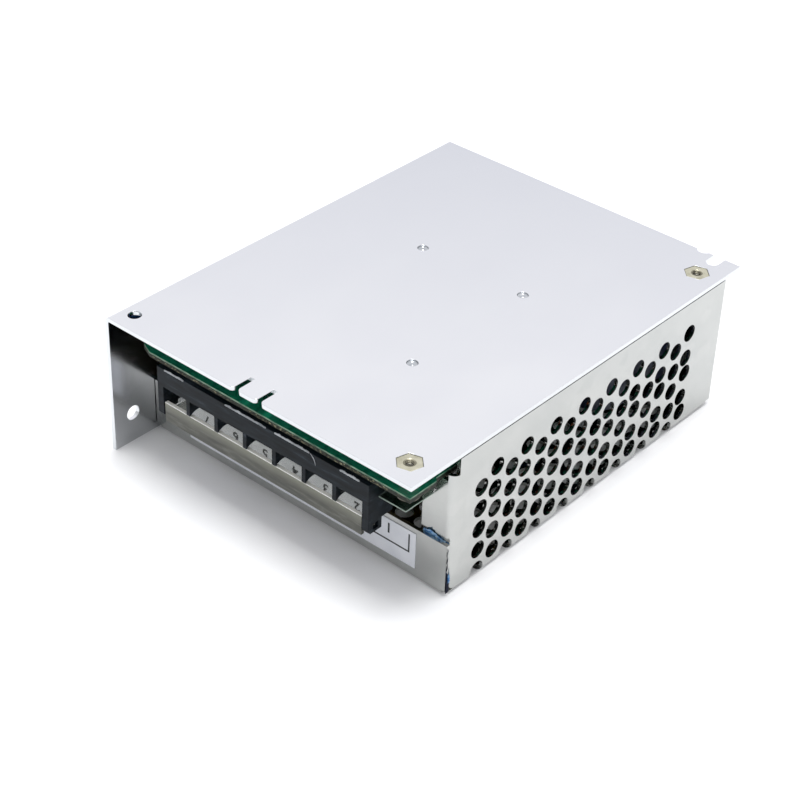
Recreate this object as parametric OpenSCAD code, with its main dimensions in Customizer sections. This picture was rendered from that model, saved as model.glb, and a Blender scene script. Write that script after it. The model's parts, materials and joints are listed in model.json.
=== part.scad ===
// Mesh case switching power supply, laid on its mesh cover with the base plate up.
// X runs across the case, Y from the terminal end to the rear end, Z up from the floor.

/* [Case] */
// Overall width, from the solid side wall to the mesh side wall
case_w = 99; // [96:1:110]
// Overall length, from the terminal end to the rear end
case_l = 129; // [127:1:145]
// Overall height, from the floor to the outer face of the base plate
case_h = 40; // [39:1:46]
// Gap between sheet pieces that slide together
fit_gap = 0.2; // [0.1:0.05:0.3]

/* [Chassis] */
// Thickness of the folded aluminium chassis
chassis_t = 1.2; // [1:0.1:1.5]
// Outside radius of the chassis fold
chassis_r = 1.6; // [1.6:0.1:2.4]
// Bore of the round hole in the base plate
plate_hole_d = 3.5; // [3:0.1:4.5]
// Round hole in the base plate, from the side wall
plate_hole_x = 4.9; // [4.5:0.1:7]
// Round hole in the base plate, from the front edge
plate_hole_y = 5.4; // [4:0.1:7]
// Bore of the hole in the side wall
wall_hole_d = 4; // [3:0.1:5]
// Hole in the side wall, from the front edge
wall_hole_y = 6.3; // [5:0.1:9]
// Hole in the side wall, above the floor
wall_hole_z = 8.5; // [6:0.1:12]
// Width of the open slot in the rear edge
rear_slot_w = 3.5; // [3:0.1:4.2]
// Depth of the open slot in the rear edge
rear_slot_l = 4.9; // [3.5:0.1:5.5]
// Width of the shallow notch in the rear edge
rear_notch_w = 3.6; // [2.5:0.1:4.5]
// Depth of the shallow notch in the rear edge
rear_notch_l = 1.2; // [0.8:0.1:1.5]
// Shallow notch, from the middle of the open slot
rear_notch_pitch = 5.1; // [4.5:0.1:7]
// Width of each relief slit in the front edge
slit_w = 1.3; // [1:0.1:1.8]
// Length of each relief slit
slit_l = 6; // [4:0.5:9]
// First relief slit, from the side wall
slit_x = 44.8; // [38:0.5:50]
// Distance between the two relief slits
slit_pitch = 7.4; // [6:0.1:10]
// Radius of the rounded mouth of each slit
slit_mouth_r = 1.2; // [0.6:0.1:1.5]

/* [Cover] */
// Thickness of the folded steel cover
cover_t = 1; // [0.8:0.1:1.2]
// Outside radius of the cover folds
cover_r = 1.6; // [1.6:0.1:2.2]
// Front face of the label lip, from the terminal end
lip_y = 14; // [13.8:0.1:15]
// Height of the label lip
lip_h = 15; // [14:0.5:17]
// Distance that the base plate overhangs the rear wall
rear_overhang = 6.2; // [5.8:0.1:8]
// Height of the fixing flange inside the side wall
flange_h = 7.4; // [6.5:0.1:8]
// Length of the in-turned front tab, from the mesh wall
tab_w = 9.1; // [6:0.1:11]
// Outside radius of the fold between mesh wall and tab
tab_r = 2; // [1.6:0.1:2.4]
// Gap between the lip and the tab behind it
tab_gap = 0.2; // [0.15:0.05:0.4]
// Height of the relief notch at the top front corner of the mesh wall
corner_notch_h = 4.5; // [3:0.1:6]
// Length of that notch behind the tab's front face
corner_notch_l = 1.8; // [1:0.1:2]

/* [Mesh] */
// Bore of each mesh hole
mesh_d = 4.7; // [3.5:0.1:4.8]
// Distance between columns of holes
mesh_col = 5.53; // [5.2:0.01:6]
// Distance between holes in one column
mesh_row = 6.1; // [5.9:0.1:6.4]
// Plain wall left behind the last column, at least
mesh_rear = 12; // [9.5:0.1:14]
// First column, from the terminal end
mesh_y = 25.2; // [24:0.1:27]
// Height of the lowest holes, which break through the fold
mesh_z = 1.7; // [1.3:0.1:2]
// Plain wall left above the columns, at least
mesh_top = 9.5; // [6.6:0.1:12]
// Drop of every second row from one pair of columns to the next
mesh_drift = 0.17; // [0:0.01:0.17]
// Forward shift of those rows
mesh_shift = 0.45; // [0:0.05:0.5]
// Number of holes in each column of the floor panel
panel_rows = 6; // [1:1:9]
// First hole of the floor panel, from the mesh wall
panel_inset = 5.9; // [5.5:0.1:7]

/* [Circuit board] */
// Thickness of the board
pcb_t = 1.5; // [1.2:0.1:1.6]
// Height of the spacers between the base plate and the board
spacer_h = 4.5; // [4:0.1:5]
// Board edge, from the solid side wall
pcb_left = 9.2; // [8:0.1:10]
// Board edge, from the mesh wall
pcb_right = 2.4; // [2:0.1:3]
// Front edge of the board, from the terminal end
pcb_front = 2.6; // [2.4:0.1:3.2]
// Rear edge of the board, from the rear wall
pcb_rear = 0.7; // [0.5:0.1:1.5]
// Width of the cut front corner
pcb_cut_w = 3.6; // [2:0.1:5]
// Length of the cut front corner
pcb_cut_l = 1.6; // [1:0.1:3]
// Step of the right edge behind the front corner
pcb_step_w = 0.8; // [0.4:0.1:1.2]
// Length of the wide front part of the right edge
pcb_step_l = 9; // [8.5:0.5:12]
// Diameter of the wire leads
lead_d = 0.8; // [0.6:0.1:1]
// Clearance around each lead
lead_gap = 0.1; // [0.05:0.05:0.2]

/* [Fasteners] */
// Thread diameter of the case and board screws
screw_d = 2.8; // [2.4:0.1:3]
// Clearance around a screw
screw_gap = 0.1; // [0.05:0.05:0.15]
// Diameter of a pan head
head_d = 5.4; // [5:0.1:6]
// Height of a pan head
head_h = 1.9; // [1.5:0.1:2.4]
// Depth of the cross recess
recess_h = 1; // [0.6:0.1:1.2]
// Width of the cross recess
recess_w = 0.7; // [0.5:0.1:1]
// Size across the flats of the hexagonal press nuts
nut_af = 5.9; // [5.5:0.1:6.5]
// Press nuts, from the mesh wall
nut_x = 6.4; // [6.4:0.1:7.5]
// Front press nut, from the terminal end
nut_front_y = 6.8; // [6.6:0.1:8]
// Rear press nut, from the rear end
nut_rear_y = 10.4; // [10.3:0.1:13]
// Diameter of the round spacers
spacer_d = 5; // [4.5:0.1:6]
// Left row of spacers, from the side wall
spacer_x = 34.3; // [30:0.1:36]
// Distance between the two rows of spacers
spacer_pitch_x = 33; // [30:0.5:35]
// Front spacer, from the terminal end
spacer_y = 36.7; // [35:0.1:38]
// Distance between the front and rear spacers
spacer_pitch_y = 42.1; // [41:0.1:44]

/* [Terminal block] */
// Room left of the block, at least
block_left = 14; // [13:0.1:15.9]
// Distance between terminals
cell_pitch = 9.6; // [9:0.1:9.8]
// Outer face of the right end wall, from the mesh side
block_right = 13.95; // [13.9:0.05:14.2]
// Front face of the block, from the terminal end
block_y = 2; // [1.6:0.1:2.4]
// Depth of the block
block_l = 12; // [11.8:0.1:13]
// Thickness of the end walls
end_wall_t = 1.9; // [1.6:0.1:2.2]
// Thickness of the walls between terminals
barrier_t = 1.2; // [1:0.1:1.5]
// Height of the solid base
base_h = 5.3; // [5:0.1:5.6]
// Height of the feet under the base
foot_h = 0.9; // [0.5:0.1:1]
// Reach of the walls between terminals beyond the base
barrier_h = 4.35; // [4.1:0.05:4.5]
// Reach of the end walls beyond those walls
end_post_h = 4.6; // [4.4:0.1:5]
// Depth of the longest part of the end walls
end_post_l = 4.7; // [4.5:0.1:5]
// Depth of the middle part of the end walls
end_step_l = 8.4; // [7:0.1:9]
// Height of the middle part above the end of the posts
end_step_h = 3; // [2.6:0.1:3.2]
// Height of the rear part above the middle part
end_shelf_h = 4.1; // [3:0.1:5]
// Chamfer on the front of the end walls
end_chamfer = 0.9; // [0.4:0.1:1.2]
// Clamping screw, from the front of the block
clamp_y = 6.9; // [6.9:0.1:7.2]
// Thread diameter of the clamping screws
clamp_d = 3.4; // [3:0.1:3.5]
// Side of the square clamping washers
washer_w = 6.8; // [6.4:0.1:7]
// Thickness of washers and contacts
contact_t = 1; // [0.8:0.1:1]

/* [Terminal flap] */
// Thickness of the clear flap
flap_t = 1; // [0.8:0.1:1.1]
// Depth of the flap
flap_l = 9.3; // [8:0.1:9.6]
// Height of the front edge above the bottom of the plate
flap_h = 3.4; // [3:0.1:3.4]
// Reach of the front edge below the plate
flap_drop = 2.1; // [1:0.1:2.2]
// Front face of the flap, from the front of the block
flap_y = 0.2; // [0.2:0.05:0.4]
// Gap between the ends of the flap and the end walls
flap_gap = 0.25; // [0.2:0.05:0.5]
// Hinge axis, from the front of the block
hinge_y = 2.7; // [2.6:0.05:2.8]
// Hinge axis above the end of the posts
hinge_z = 1.6; // [1.4:0.1:1.8]
// Diameter of the hinge pins
hinge_d = 1.3; // [1.1:0.1:1.4]
// Radial clearance of the hinge pins
hinge_gap = 0.07; // [0.05:0.01:0.1]
// Radius swept clear for the turned-up edge
swing_r = 4.02; // [4:0.01:4.1]

/* [Films and label] */
// Thickness of the insulating film
film_t = 0.3; // [0.2:0.05:0.4]
// Drop of the film below the board
film_drop = 5.6; // [5:0.1:6.5]
// Front edge of the film, from the terminal end
film_y = 5.3; // [4.5:0.1:6]
// Width of the film
film_w = 8; // [6:0.1:8.2]
// Radius of the film's bend
film_r = 1.4; // [1:0.1:2]
// Thickness of the label
label_t = 0.15; // [0.1:0.05:0.2]
// Height of the label
label_h = 10.2; // [8:0.1:11]
// Lower edge of the label above the floor
label_z = 3.4; // [3:0.1:3.8]
// Left edge of the label, from the side wall
label_x = 14; // [8:0.5:20]
// Right edge of the label, from the mesh wall
label_right = 9.5; // [8:0.5:14]

/* [Power components] */
// Diameter of the input capacitors
bulk_d = 16; // [12:0.5:17]
// Length of the input capacitors
bulk_l = 21; // [16:0.5:26]
// Diameter of the output capacitors
out_d = 10; // [8:0.5:10.5]
// Length of the output capacitors
out_l = 20; // [16:0.5:24]
// Width of the transformer core
core_w = 32; // [28:0.5:33]
// Room under the transformer core, above the cover
core_clear = 3.8; // [2.8:0.1:6]
// Thickness of the transformer core
core_t = 12; // [10:0.5:13]
// Outer diameter of the input choke
choke_d = 16; // [15:0.5:16.5]
// Outer diameter of the output inductor
inductor_d = 21; // [19:0.5:22]

/* [Hidden] */
$fn = 48;

// Shared places
cut = 1;
plate_z = case_h - chassis_t;
pcb_top = plate_z - spacer_h;
pcb_z = pcb_top - pcb_t;
rear_y = case_l - rear_overhang;
cover_top = plate_z - fit_gap;
cover_left = chassis_t + fit_gap;
tab_y = lip_y + cover_t + tab_gap;
nut_cx = case_w - nut_x;
nut_spots = [[nut_cx, nut_front_y], [nut_cx, case_l - nut_rear_y]];
spacer_spots = [
    [spacer_x + spacer_pitch_x, spacer_y],
    [spacer_x, spacer_y + spacer_pitch_y],
    [spacer_x + spacer_pitch_x, spacer_y + spacer_pitch_y]
];

// Number of terminals, and the block's place
cells = floor((case_w - block_right - block_left - end_wall_t) / cell_pitch);
block_z = pcb_z - foot_h;
base_z = block_z - base_h;
barrier_z = base_z - barrier_h;
post_z = barrier_z - end_post_h;
block_w = cells * cell_pitch + end_wall_t;
block_x = case_w - block_right - block_w;
clamp_cy = block_y + clamp_y;
clamp_head_h = 1.4;
clamp_bore_h = 4;
contact_w = 7.6;
contact_inset = 3;
contact_pin_w = 1.2;
contact_pin_l = 0.9;
contact_pin_set = 9.6;
contact_pin_y = block_y + contact_pin_set;
pin_reach = 1;
hinge_cy = block_y + hinge_y;
hinge_cz = post_z + hinge_z;

// Component places as shares of the case's width and length, where no wall sets them
core_place_shares = [0.485, 0.481];
bridge_place_shares = [0.243, 0.667];
ycap_place_shares = [0.626, 0.713];
opto_place_shares = [0.465, 0.713];
chip_place_shares = [0.505, 0.822];
inductor_share = 0.384;
xcap_share = 0.758;
thermistor_share = 0.606;
led_share = 0.232;
transistor_share = 0.736;

// Component places, from the side wall and the terminal end
wire_t = 1.6;
ring_gap = 0.1;
core_x = case_w * core_place_shares[0];
core_y = case_l * core_place_shares[1];
bulk_clear = 6;
bulk_rear_clear = 4.8;
bulk_gap = 2;
bulk_pitch = bulk_d + bulk_gap;
bulk_x = case_w - cover_t - bulk_clear - bulk_d / 2;
bulk_y = rear_y - cover_t - bulk_rear_clear - bulk_d / 2 - bulk_pitch;
out_clear = 6.8;
out_gap = 2;
out_pitch = out_d + out_gap;
out_x = chassis_t + out_clear + out_d / 2;
out_front = 14.5;
out_y = lip_y + cover_t + out_front;
choke_clear = 5.3;
choke_front = 26.6;
choke_reach = choke_d / 2 + wire_t + ring_gap;
choke_x = case_w - cover_t - choke_clear - choke_reach;
choke_y = lip_y + cover_t + choke_front + choke_reach;
inductor_x = case_w * inductor_share;
inductor_front = 12.2;
inductor_y = lip_y + cover_t + inductor_front;
bridge_x = case_w * bridge_place_shares[0];
bridge_y = case_l * bridge_place_shares[1];
fuse_l = 20;
fuse_lead_l = 0.5;
fuse_lead = fuse_l + 2 * fuse_lead_l;
fuse_clear = 9;
fuse_gap = 0.4;
fuse_x = case_w - fuse_clear;
fuse_y = choke_y - choke_reach - fuse_gap - fuse_lead / 2;
xcap_x = case_w * xcap_share;
xcap_front = 12;
xcap_y = lip_y + cover_t + xcap_front;
thermistor_x = case_w * thermistor_share;
thermistor_front = 7;
thermistor_y = lip_y + cover_t + thermistor_front;
ycap_x = case_w * ycap_place_shares[0];
ycap_y = case_l * ycap_place_shares[1];
ycap_pitch = 9;
opto_x = case_w * opto_place_shares[0];
opto_y = case_l * opto_place_shares[1];
chip_x = case_w * chip_place_shares[0];
chip_y = case_l * chip_place_shares[1];
trimmer_clear = 12.3;
trimmer_front = 5;
trimmer_x = chassis_t + trimmer_clear;
trimmer_y = lip_y + cover_t + trimmer_front;
led_x = case_w * led_share;
led_front = 4;
led_y = lip_y + cover_t + led_front;
transistor_y = case_l * transistor_share;
body_w = 10;
device_side_gap = 2;
rectifier_y = out_y + 2 * out_pitch + (out_d + body_w) / 2 + device_side_gap;

function cell_x(i) = block_x + end_wall_t / 2 + (i + 0.5) * cell_pitch;
function pair(x, y, dx, dy) = [[x - dx / 2, y - dy / 2], [x + dx / 2, y + dy / 2]];
function grid(x, y, dx, dy, n) =
    [for (i = [0 : n - 1]) for (s = [-0.5, 0.5]) [x + s * dx, y + (i - (n - 1) / 2) * dy]];

// Solder lead places of each component
bulk_lead = 7.5;
out_lead = 5;
bobbin_lead = 20;
bobbin_step = 4.5;
choke_lead = 10;
bridge_lead = 5;
xcap_lead = 10;
disc_lead = 5;
opto_lead = 7.6;
chip_step = 2.54;
trimmer_lead = 5;
led_lead = 2.54;
device_lead = 2.54;
device_reach = 11;
bulk_leads = [for (i = [0, 1]) each pair(bulk_x, bulk_y + i * bulk_pitch, bulk_lead, 0)];
out_leads = [for (i = [0 : 2]) each pair(out_x, out_y + i * out_pitch, out_lead, 0)];
transformer_leads = [for (s = [-0.5, 0.5]) for (i = [-2 : 2])
    [core_x + i * bobbin_step, core_y + s * bobbin_lead]];
choke_leads = grid(choke_x, choke_y, choke_lead, choke_lead, 2);
inductor_leads = pair(inductor_x, inductor_y, choke_lead, 0);
bridge_leads = [for (i = [-1.5 : 1.5]) [bridge_x + i * bridge_lead, bridge_y]];
fuse_leads = pair(fuse_x, fuse_y, 0, fuse_lead);
xcap_leads = pair(xcap_x, xcap_y, 0, xcap_lead);
thermistor_leads = pair(thermistor_x, thermistor_y, disc_lead, 0);
ycap_leads = [for (i = [0, 1]) each pair(ycap_x, ycap_y + i * ycap_pitch, disc_lead, 0)];
opto_leads = grid(opto_x, opto_y, opto_lead, chip_step, 2);
chip_leads = grid(chip_x, chip_y, opto_lead, chip_step, 4);
trimmer_leads = pair(trimmer_x, trimmer_y, trimmer_lead, 0);
led_leads = pair(led_x, led_y, led_lead, 0);
function device_leads(y) = [for (i = [-1 : 1]) [device_reach, y + i * device_lead]];
all_leads = concat(bulk_leads, out_leads, transformer_leads, choke_leads, inductor_leads,
    bridge_leads, fuse_leads, xcap_leads, thermistor_leads, ycap_leads, opto_leads, chip_leads,
    trimmer_leads, led_leads, device_leads(transistor_y), device_leads(rectifier_y));

// Placing helpers: pieces are drawn from the front left corner of the case
module in_case() translate([-case_w / 2, -case_l / 2, 0]) children();
module along_y(y, l) translate([0, y + l, 0]) rotate([90, 0, 0]) linear_extrude(l) children();
module along_x(x, l) translate([x, 0, 0]) rotate([90, 0, 90]) linear_extrude(l) children();
module bore_x(x, y, z, d, l) translate([x, y, z]) rotate([0, 90, 0]) cylinder(d = d, h = l);

// Quarter of a folded sheet, with its corner towards minus X and minus Y
module fold(r, t) {
    intersection() {
        difference() {
            circle(r = r);
            circle(r = r - t);
        }
        translate([-r, -r]) square(r);
    }
}

// Box with rounded upright edges
module rounded_box(w, l, h, r) {
    linear_extrude(h) {
        square([w - 2 * r, l], center = true);
        square([w, l - 2 * r], center = true);
        for (x = [-1, 1]) for (y = [-1, 1])
            translate([x * (w / 2 - r), y * (l / 2 - r)]) circle(r = r);
    }
}

// Straight wire leads that pass through the board
module leads(places, from_z) {
    for (p = places)
        translate([p[0], p[1], from_z]) cylinder(d = lead_d, h = pcb_top + pin_reach - from_z);
}

// Pan head screw along Z, its head below the origin
module pan_screw(d, l, hd, hh) {
    difference() {
        union() {
            cylinder(d = d, h = l);
            translate([0, 0, -hh]) cylinder(d = hd, h = hh);
        }
        for (a = [0, 90]) rotate(a)
            translate([-hd / 3, -recess_w / 2, -hh - cut]) cube([hd * 2 / 3, recess_w, recess_h + cut]);
    }
}

// Chassis: base plate and solid side wall folded from one sheet
module chassis_profile() {
    translate([chassis_r, plate_z]) square([case_w - chassis_r, chassis_t]);
    square([chassis_t, case_h - chassis_r]);
    translate([chassis_r, case_h - chassis_r]) mirror([0, 1]) fold(chassis_r, chassis_t);
}

// Plan of one relief slit, with its mouth rounded on both sides
module slit_plan() {
    translate([-slit_w / 2, -cut]) square([slit_w, slit_l + cut]);
    for (s = [-1, 1]) scale([s, 1]) difference() {
        translate([0, -cut]) square([slit_w / 2 + slit_mouth_r, slit_mouth_r + cut]);
        translate([slit_w / 2 + slit_mouth_r, slit_mouth_r]) circle(r = slit_mouth_r);
    }
}

module plate_cuts() {
    translate([0, 0, plate_z - cut]) linear_extrude(chassis_t + 2 * cut) {
        for (i = [0, 1]) translate([slit_x + i * slit_pitch, 0]) slit_plan();
        translate([nut_cx - rear_slot_w / 2, case_l - rear_slot_l + rear_slot_w / 2])
            square([rear_slot_w, rear_slot_l]);
        translate([nut_cx, case_l - rear_slot_l + rear_slot_w / 2]) circle(d = rear_slot_w);
        notch_r = (rear_notch_w * rear_notch_w / 4 + rear_notch_l * rear_notch_l) / (2 * rear_notch_l);
        translate([nut_cx - rear_notch_pitch, case_l - rear_notch_l + notch_r]) circle(r = notch_r);
    }
    translate([plate_hole_x, plate_hole_y, plate_z - cut])
        cylinder(d = plate_hole_d, h = chassis_t + 2 * cut);
    for (p = nut_spots) translate([p[0], p[1], plate_z - cut]) rotate(15)
        cylinder(d = (nut_af + screw_gap) / cos(30), h = chassis_t + 2 * cut, $fn = 6);
    for (p = spacer_spots) translate([p[0], p[1], plate_z - cut])
        cylinder(d = screw_d + screw_gap, h = chassis_t + 2 * cut);
}

module chassis() color([0.9, 0.9, 0.93]) in_case() difference() {
    along_y(0, case_l) chassis_profile();
    plate_cuts();
    bore_x(-cut, wall_hole_y, wall_hole_z, wall_hole_d, chassis_t + 2 * cut);
    for (y = cover_screw_ys) translate([0, y, cover_screw_z]) rotate([0, 90, 0])
        cylinder(d1 = head_d + screw_gap, d2 = screw_d + screw_gap, h = chassis_t);
    for (y = [transistor_y, rectifier_y])
        bore_x(-cut, y, device_hole_z, screw_d + screw_gap, chassis_t + 2 * cut);
}

// Cover: floor panel, mesh wall, label lip, front tab, rear wall and fixing flange
cover_screw_z = 4.1;
cover_screw_front = 25;
cover_screw_rear = 10.8;
cover_screw_ys = [cover_screw_front, rear_y - cover_screw_rear];
cover_screw_l = 4.4;
mesh_cols = floor((rear_y - mesh_y - mesh_rear) / mesh_col) + 1;
mesh_rows = floor((cover_top - mesh_z - mesh_top) / mesh_row) + 1;
function hole_drift(i) = i % 2 == 1 ? mesh_drift * (i - 1) / 2 : 0;
function mesh_zs(i) = [for (j = [0 : mesh_rows - 1])
    mesh_z + (j + (i % 2) / 2) * mesh_row - (j % 2 == 1 ? hole_drift(i) : 0)];
function mesh_y_at(i, j) = mesh_y + i * mesh_col - (i % 2 == 1 && j % 2 == 1 ? mesh_shift : 0);

module cover_section() {
    translate([cover_left + cover_r, 0]) square([case_w - cover_left - 2 * cover_r, cover_t]);
    translate([case_w - cover_t, cover_r]) square([cover_t, cover_top - cover_r]);
    translate([cover_left, cover_r]) square([cover_t, flange_h - cover_r]);
    translate([cover_left + cover_r, cover_r]) fold(cover_r, cover_t);
    translate([case_w - cover_r, cover_r]) mirror([1, 0]) fold(cover_r, cover_t);
}

// Upright end of the cover on its own fold, with its outer face at the origin
module end_wall_section(h) {
    translate([0, cover_r]) square([cover_t, h - cover_r]);
    translate([cover_r, cover_r]) fold(cover_r, cover_t);
    translate([cover_r, 0]) square([cover_r, cover_t]);
}

module front_tab() {
    translate([0, 0, cover_t + fit_gap])
        linear_extrude(pcb_z - tab_top_gap - cover_t - fit_gap)
        translate([case_w - tab_w, tab_y]) square([tab_w - tab_r, cover_t]);
    translate([case_w - tab_r, tab_y + tab_r, cover_t + fit_gap])
        linear_extrude(cover_top - cover_t - fit_gap) mirror([1, 0]) fold(tab_r, cover_t);
}
tab_top_gap = 0.4;
lip_end_gap = 0.3;

module mesh_bores() {
    for (i = [0 : mesh_cols - 1]) for (j = [0 : mesh_rows - 1])
        bore_x(case_w - cover_r - cut, mesh_y_at(i, j), mesh_zs(i)[j], mesh_d,
            cover_r + 2 * cut);
    for (i = [0 : mesh_cols - 1]) for (j = [0 : panel_rows - 1])
        translate([case_w - panel_inset - (j + (i % 2) / 2) * mesh_row, mesh_y + i * mesh_col, -cut])
            cylinder(d = mesh_d, h = cover_t + 2 * cut);
}

module cover() color([0.86, 0.87, 0.88]) in_case() difference() {
    union() {
        difference() {
            along_y(lip_y + cover_r, rear_y - lip_y - 2 * cover_r) cover_section();
            translate([case_w - cover_r - cut, lip_y - cut, cover_t + fit_gap])
                cube([cover_r + 2 * cut, tab_y + tab_r - lip_y + cut, case_h]);
        }
        along_x(cover_left + cover_r, case_w - cover_left - 2 * cover_r)
            translate([lip_y, 0]) end_wall_section(lip_h);
        along_x(cover_left + cover_r, case_w - cover_left - 2 * cover_r)
            translate([rear_y, 0]) mirror([1, 0]) end_wall_section(cover_top);
        translate([cover_left, lip_y, cover_r])
            cube([case_w - lip_end_gap - cover_left, cover_t, lip_h - cover_r]);
        translate([cover_left, rear_y - cover_t, flange_h + fit_gap])
            cube([case_w - cover_left, cover_t, cover_top - flange_h - fit_gap]);
        translate([case_w - cover_t, rear_y - 2 * cover_r, cover_r])
            cube([cover_t, 2 * cover_r, cover_top - cover_r]);
        front_tab();
    }
    translate([case_w - cover_r - cut, lip_y, cover_top - corner_notch_h])
        cube([cover_r + 2 * cut, tab_y - lip_y + corner_notch_l, corner_notch_h + cut]);
    mesh_bores();
    for (y = cover_screw_ys)
        bore_x(cover_left - cut, y, cover_screw_z, screw_d + screw_gap, cover_t + 2 * cut);
}

// Label stuck on the lip, left bare
module label() color([0.88, 0.88, 0.92]) in_case()
    translate([label_x, lip_y - label_t, label_z])
    cube([case_w - label_right - label_x, label_t, label_h]);

// Torn remnant of the blue protective film, caught between lip and tab
module protective_film() color([0.25, 0.5, 0.75]) in_case() along_y(lip_y + cover_t, tab_gap)
    translate([case_w - remnant_w, 0])
    polygon([for (p = remnant_shares) [p[0] * remnant_w, p[1] * remnant_h]]);
remnant_w = 8.6;
remnant_h = 16.8;
remnant_shares = [[0, 0.6], [0.02, 0.88], [0.3, 1], [0.5, 0.97], [0.83, 0.91], [0.93, 0.84],
    [0.93, 0.38], [0.99, 0.34], [0.98, 0.26], [0.8, 0.24], [0.6, 0.5]];

// Circuit board, its solder side towards the base plate
module pcb_plan() {
    right = case_w - pcb_right;
    back = rear_y - cover_t - pcb_rear;
    step_y = pcb_front + pcb_step_l;
    difference() {
        polygon([
            [pcb_left + pcb_cut_w, pcb_front], [right, pcb_front], [right, step_y],
            [right - pcb_step_w, step_y + pcb_step_w], [right - pcb_step_w, back],
            [pcb_left, back], [pcb_left, pcb_front + pcb_cut_l]
        ]);
        for (i = [0 : cells - 1])
            translate([cell_x(i) - contact_pin_w / 2 - lead_gap, contact_pin_y - lead_gap])
            square([contact_pin_w + 2 * lead_gap, contact_pin_l + 2 * lead_gap]);
    }
}

module pcb() color([0.1, 0.42, 0.3]) in_case() difference() {
    translate([0, 0, pcb_z]) linear_extrude(pcb_t) pcb_plan();
    for (p = concat(nut_spots, spacer_spots)) translate([p[0], p[1], pcb_z - cut])
        cylinder(d = screw_d + 2 * screw_gap, h = pcb_t + 2 * cut);
    for (p = all_leads) translate([p[0], p[1], pcb_z - cut])
        cylinder(d = lead_d + 2 * lead_gap, h = pcb_t + 2 * cut);
}

// Hexagonal press nuts in the base plate, with a round body down to the board
module corner_nuts() color([0.83, 0.82, 0.74]) in_case() for (p = nut_spots)
    translate([p[0], p[1], pcb_top]) difference() {
        union() {
            cylinder(d = spacer_d, h = spacer_h + cut / 2);
            translate([0, 0, spacer_h]) rotate(15)
                cylinder(d = nut_af / cos(30), h = chassis_t - nut_sink, $fn = 6);
        }
        translate([0, 0, -cut]) cylinder(d = screw_d, h = case_h);
    }
nut_sink = 0.1;
tip_sink = 1;

module corner_screws() color([0.75, 0.75, 0.74]) in_case() for (p = nut_spots)
    translate([p[0], p[1], pcb_z])
    pan_screw(screw_d, case_h - tip_sink - pcb_z, head_d, head_h);

module board_spacers() color([0.8, 0.8, 0.8]) in_case() for (p = spacer_spots)
    translate([p[0], p[1], pcb_top]) difference() {
        cylinder(d = spacer_d, h = spacer_h);
        translate([0, 0, -cut]) cylinder(d = screw_d, h = spacer_h + 2 * cut);
    }

module board_screws() color([0.75, 0.75, 0.74]) in_case() for (p = spacer_spots)
    translate([p[0], p[1], pcb_z])
    pan_screw(screw_d, case_h - nut_sink * 2 - pcb_z, head_d, head_h);

// Flat head screws that hold the cover's flange to the solid side wall
module cover_screws() color([0.75, 0.75, 0.74]) in_case() for (y = cover_screw_ys)
    translate([0, y, cover_screw_z]) rotate([0, 90, 0]) {
        cylinder(d1 = head_d, d2 = screw_d, h = chassis_t);
        cylinder(d = screw_d, h = cover_screw_l);
    }

// Bent sheet of clear insulating film between the board and the mesh cover
module insulating_film() color([0.6, 0.66, 0.62, 0.5]) in_case() {
    film_x = case_w - tab_w - film_w + film_overlap;
    film_back = tab_y - cover_gap;
    film_z = pcb_z - film_drop;
    along_x(film_x, film_w) {
        translate([film_y, film_z]) square([film_back - film_r - film_y, film_t]);
        translate([film_back - film_r, film_z + film_r]) mirror([1, 0]) fold(film_r, film_t);
        translate([film_back - film_t, film_z + film_r]) square([film_t, pcb_z - film_z - film_r]);
    }
}
film_overlap = 3.4;
cover_gap = 0.2;

// Side outline of the block's end walls, stepped towards the rear
module end_wall_outline() {
    step_z = post_z + end_step_h;
    shelf_z = step_z + end_shelf_h;
    translate([block_y, 0]) polygon([
        [0, block_z], [0, post_z + end_chamfer], [end_chamfer, post_z], [end_post_l, post_z],
        [end_post_l, step_z], [end_step_l, step_z], [end_step_l, shelf_z], [block_l, shelf_z],
        [block_l, block_z]
    ]);
}

// Terminal block housing
rear_wall_t = 1;
foot_w = 2;
module block_housing() color([0.17, 0.19, 0.21]) in_case() difference() {
    union() {
        translate([block_x, block_y, base_z]) cube([block_w, block_l, base_h]);
        for (x = [block_x, block_x + block_w - end_wall_t]) along_x(x, end_wall_t) end_wall_outline();
        for (i = [1 : cells - 1])
            translate([block_x + end_wall_t / 2 + i * cell_pitch - barrier_t / 2, block_y, barrier_z])
            cube([barrier_t, block_l, base_z - barrier_z + base_h / 2]);
        translate([block_x, block_y + block_l - rear_wall_t, barrier_z])
            cube([block_w, rear_wall_t, base_z - barrier_z + base_h / 2]);
        for (x = [block_x, block_x + block_w - foot_w]) translate([x, block_y + foot_inset, block_z])
            cube([foot_w, block_l - 2 * foot_inset, foot_h]);
    }
    bore_x(block_x + end_wall_t, hinge_cy, hinge_cz, 2 * swing_r, block_w - 2 * end_wall_t);
    bore_x(block_x - cut, hinge_cy, hinge_cz, hinge_d + 2 * hinge_gap, block_w + 2 * cut);
    for (x = [block_x - cut, block_x + block_w - recess_depth])
        translate([x, hinge_cy - recess_side / 2, hinge_cz - recess_side / 2])
        cube([recess_depth + cut, recess_side, recess_side]);
    for (i = [0 : cells - 1]) {
        translate([cell_x(i), clamp_cy, base_z - cut])
            cylinder(d = clamp_d + 2 * screw_gap, h = clamp_bore_h + cut);
        translate([cell_x(i) - contact_pin_w / 2 - lead_gap, contact_pin_y - lead_gap, base_z - cut])
            cube([contact_pin_w + 2 * lead_gap, contact_pin_l + 2 * lead_gap, base_h + 2 * cut]);
    }
}
foot_inset = 3;
recess_depth = 0.7;
recess_side = 1.8;

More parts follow.
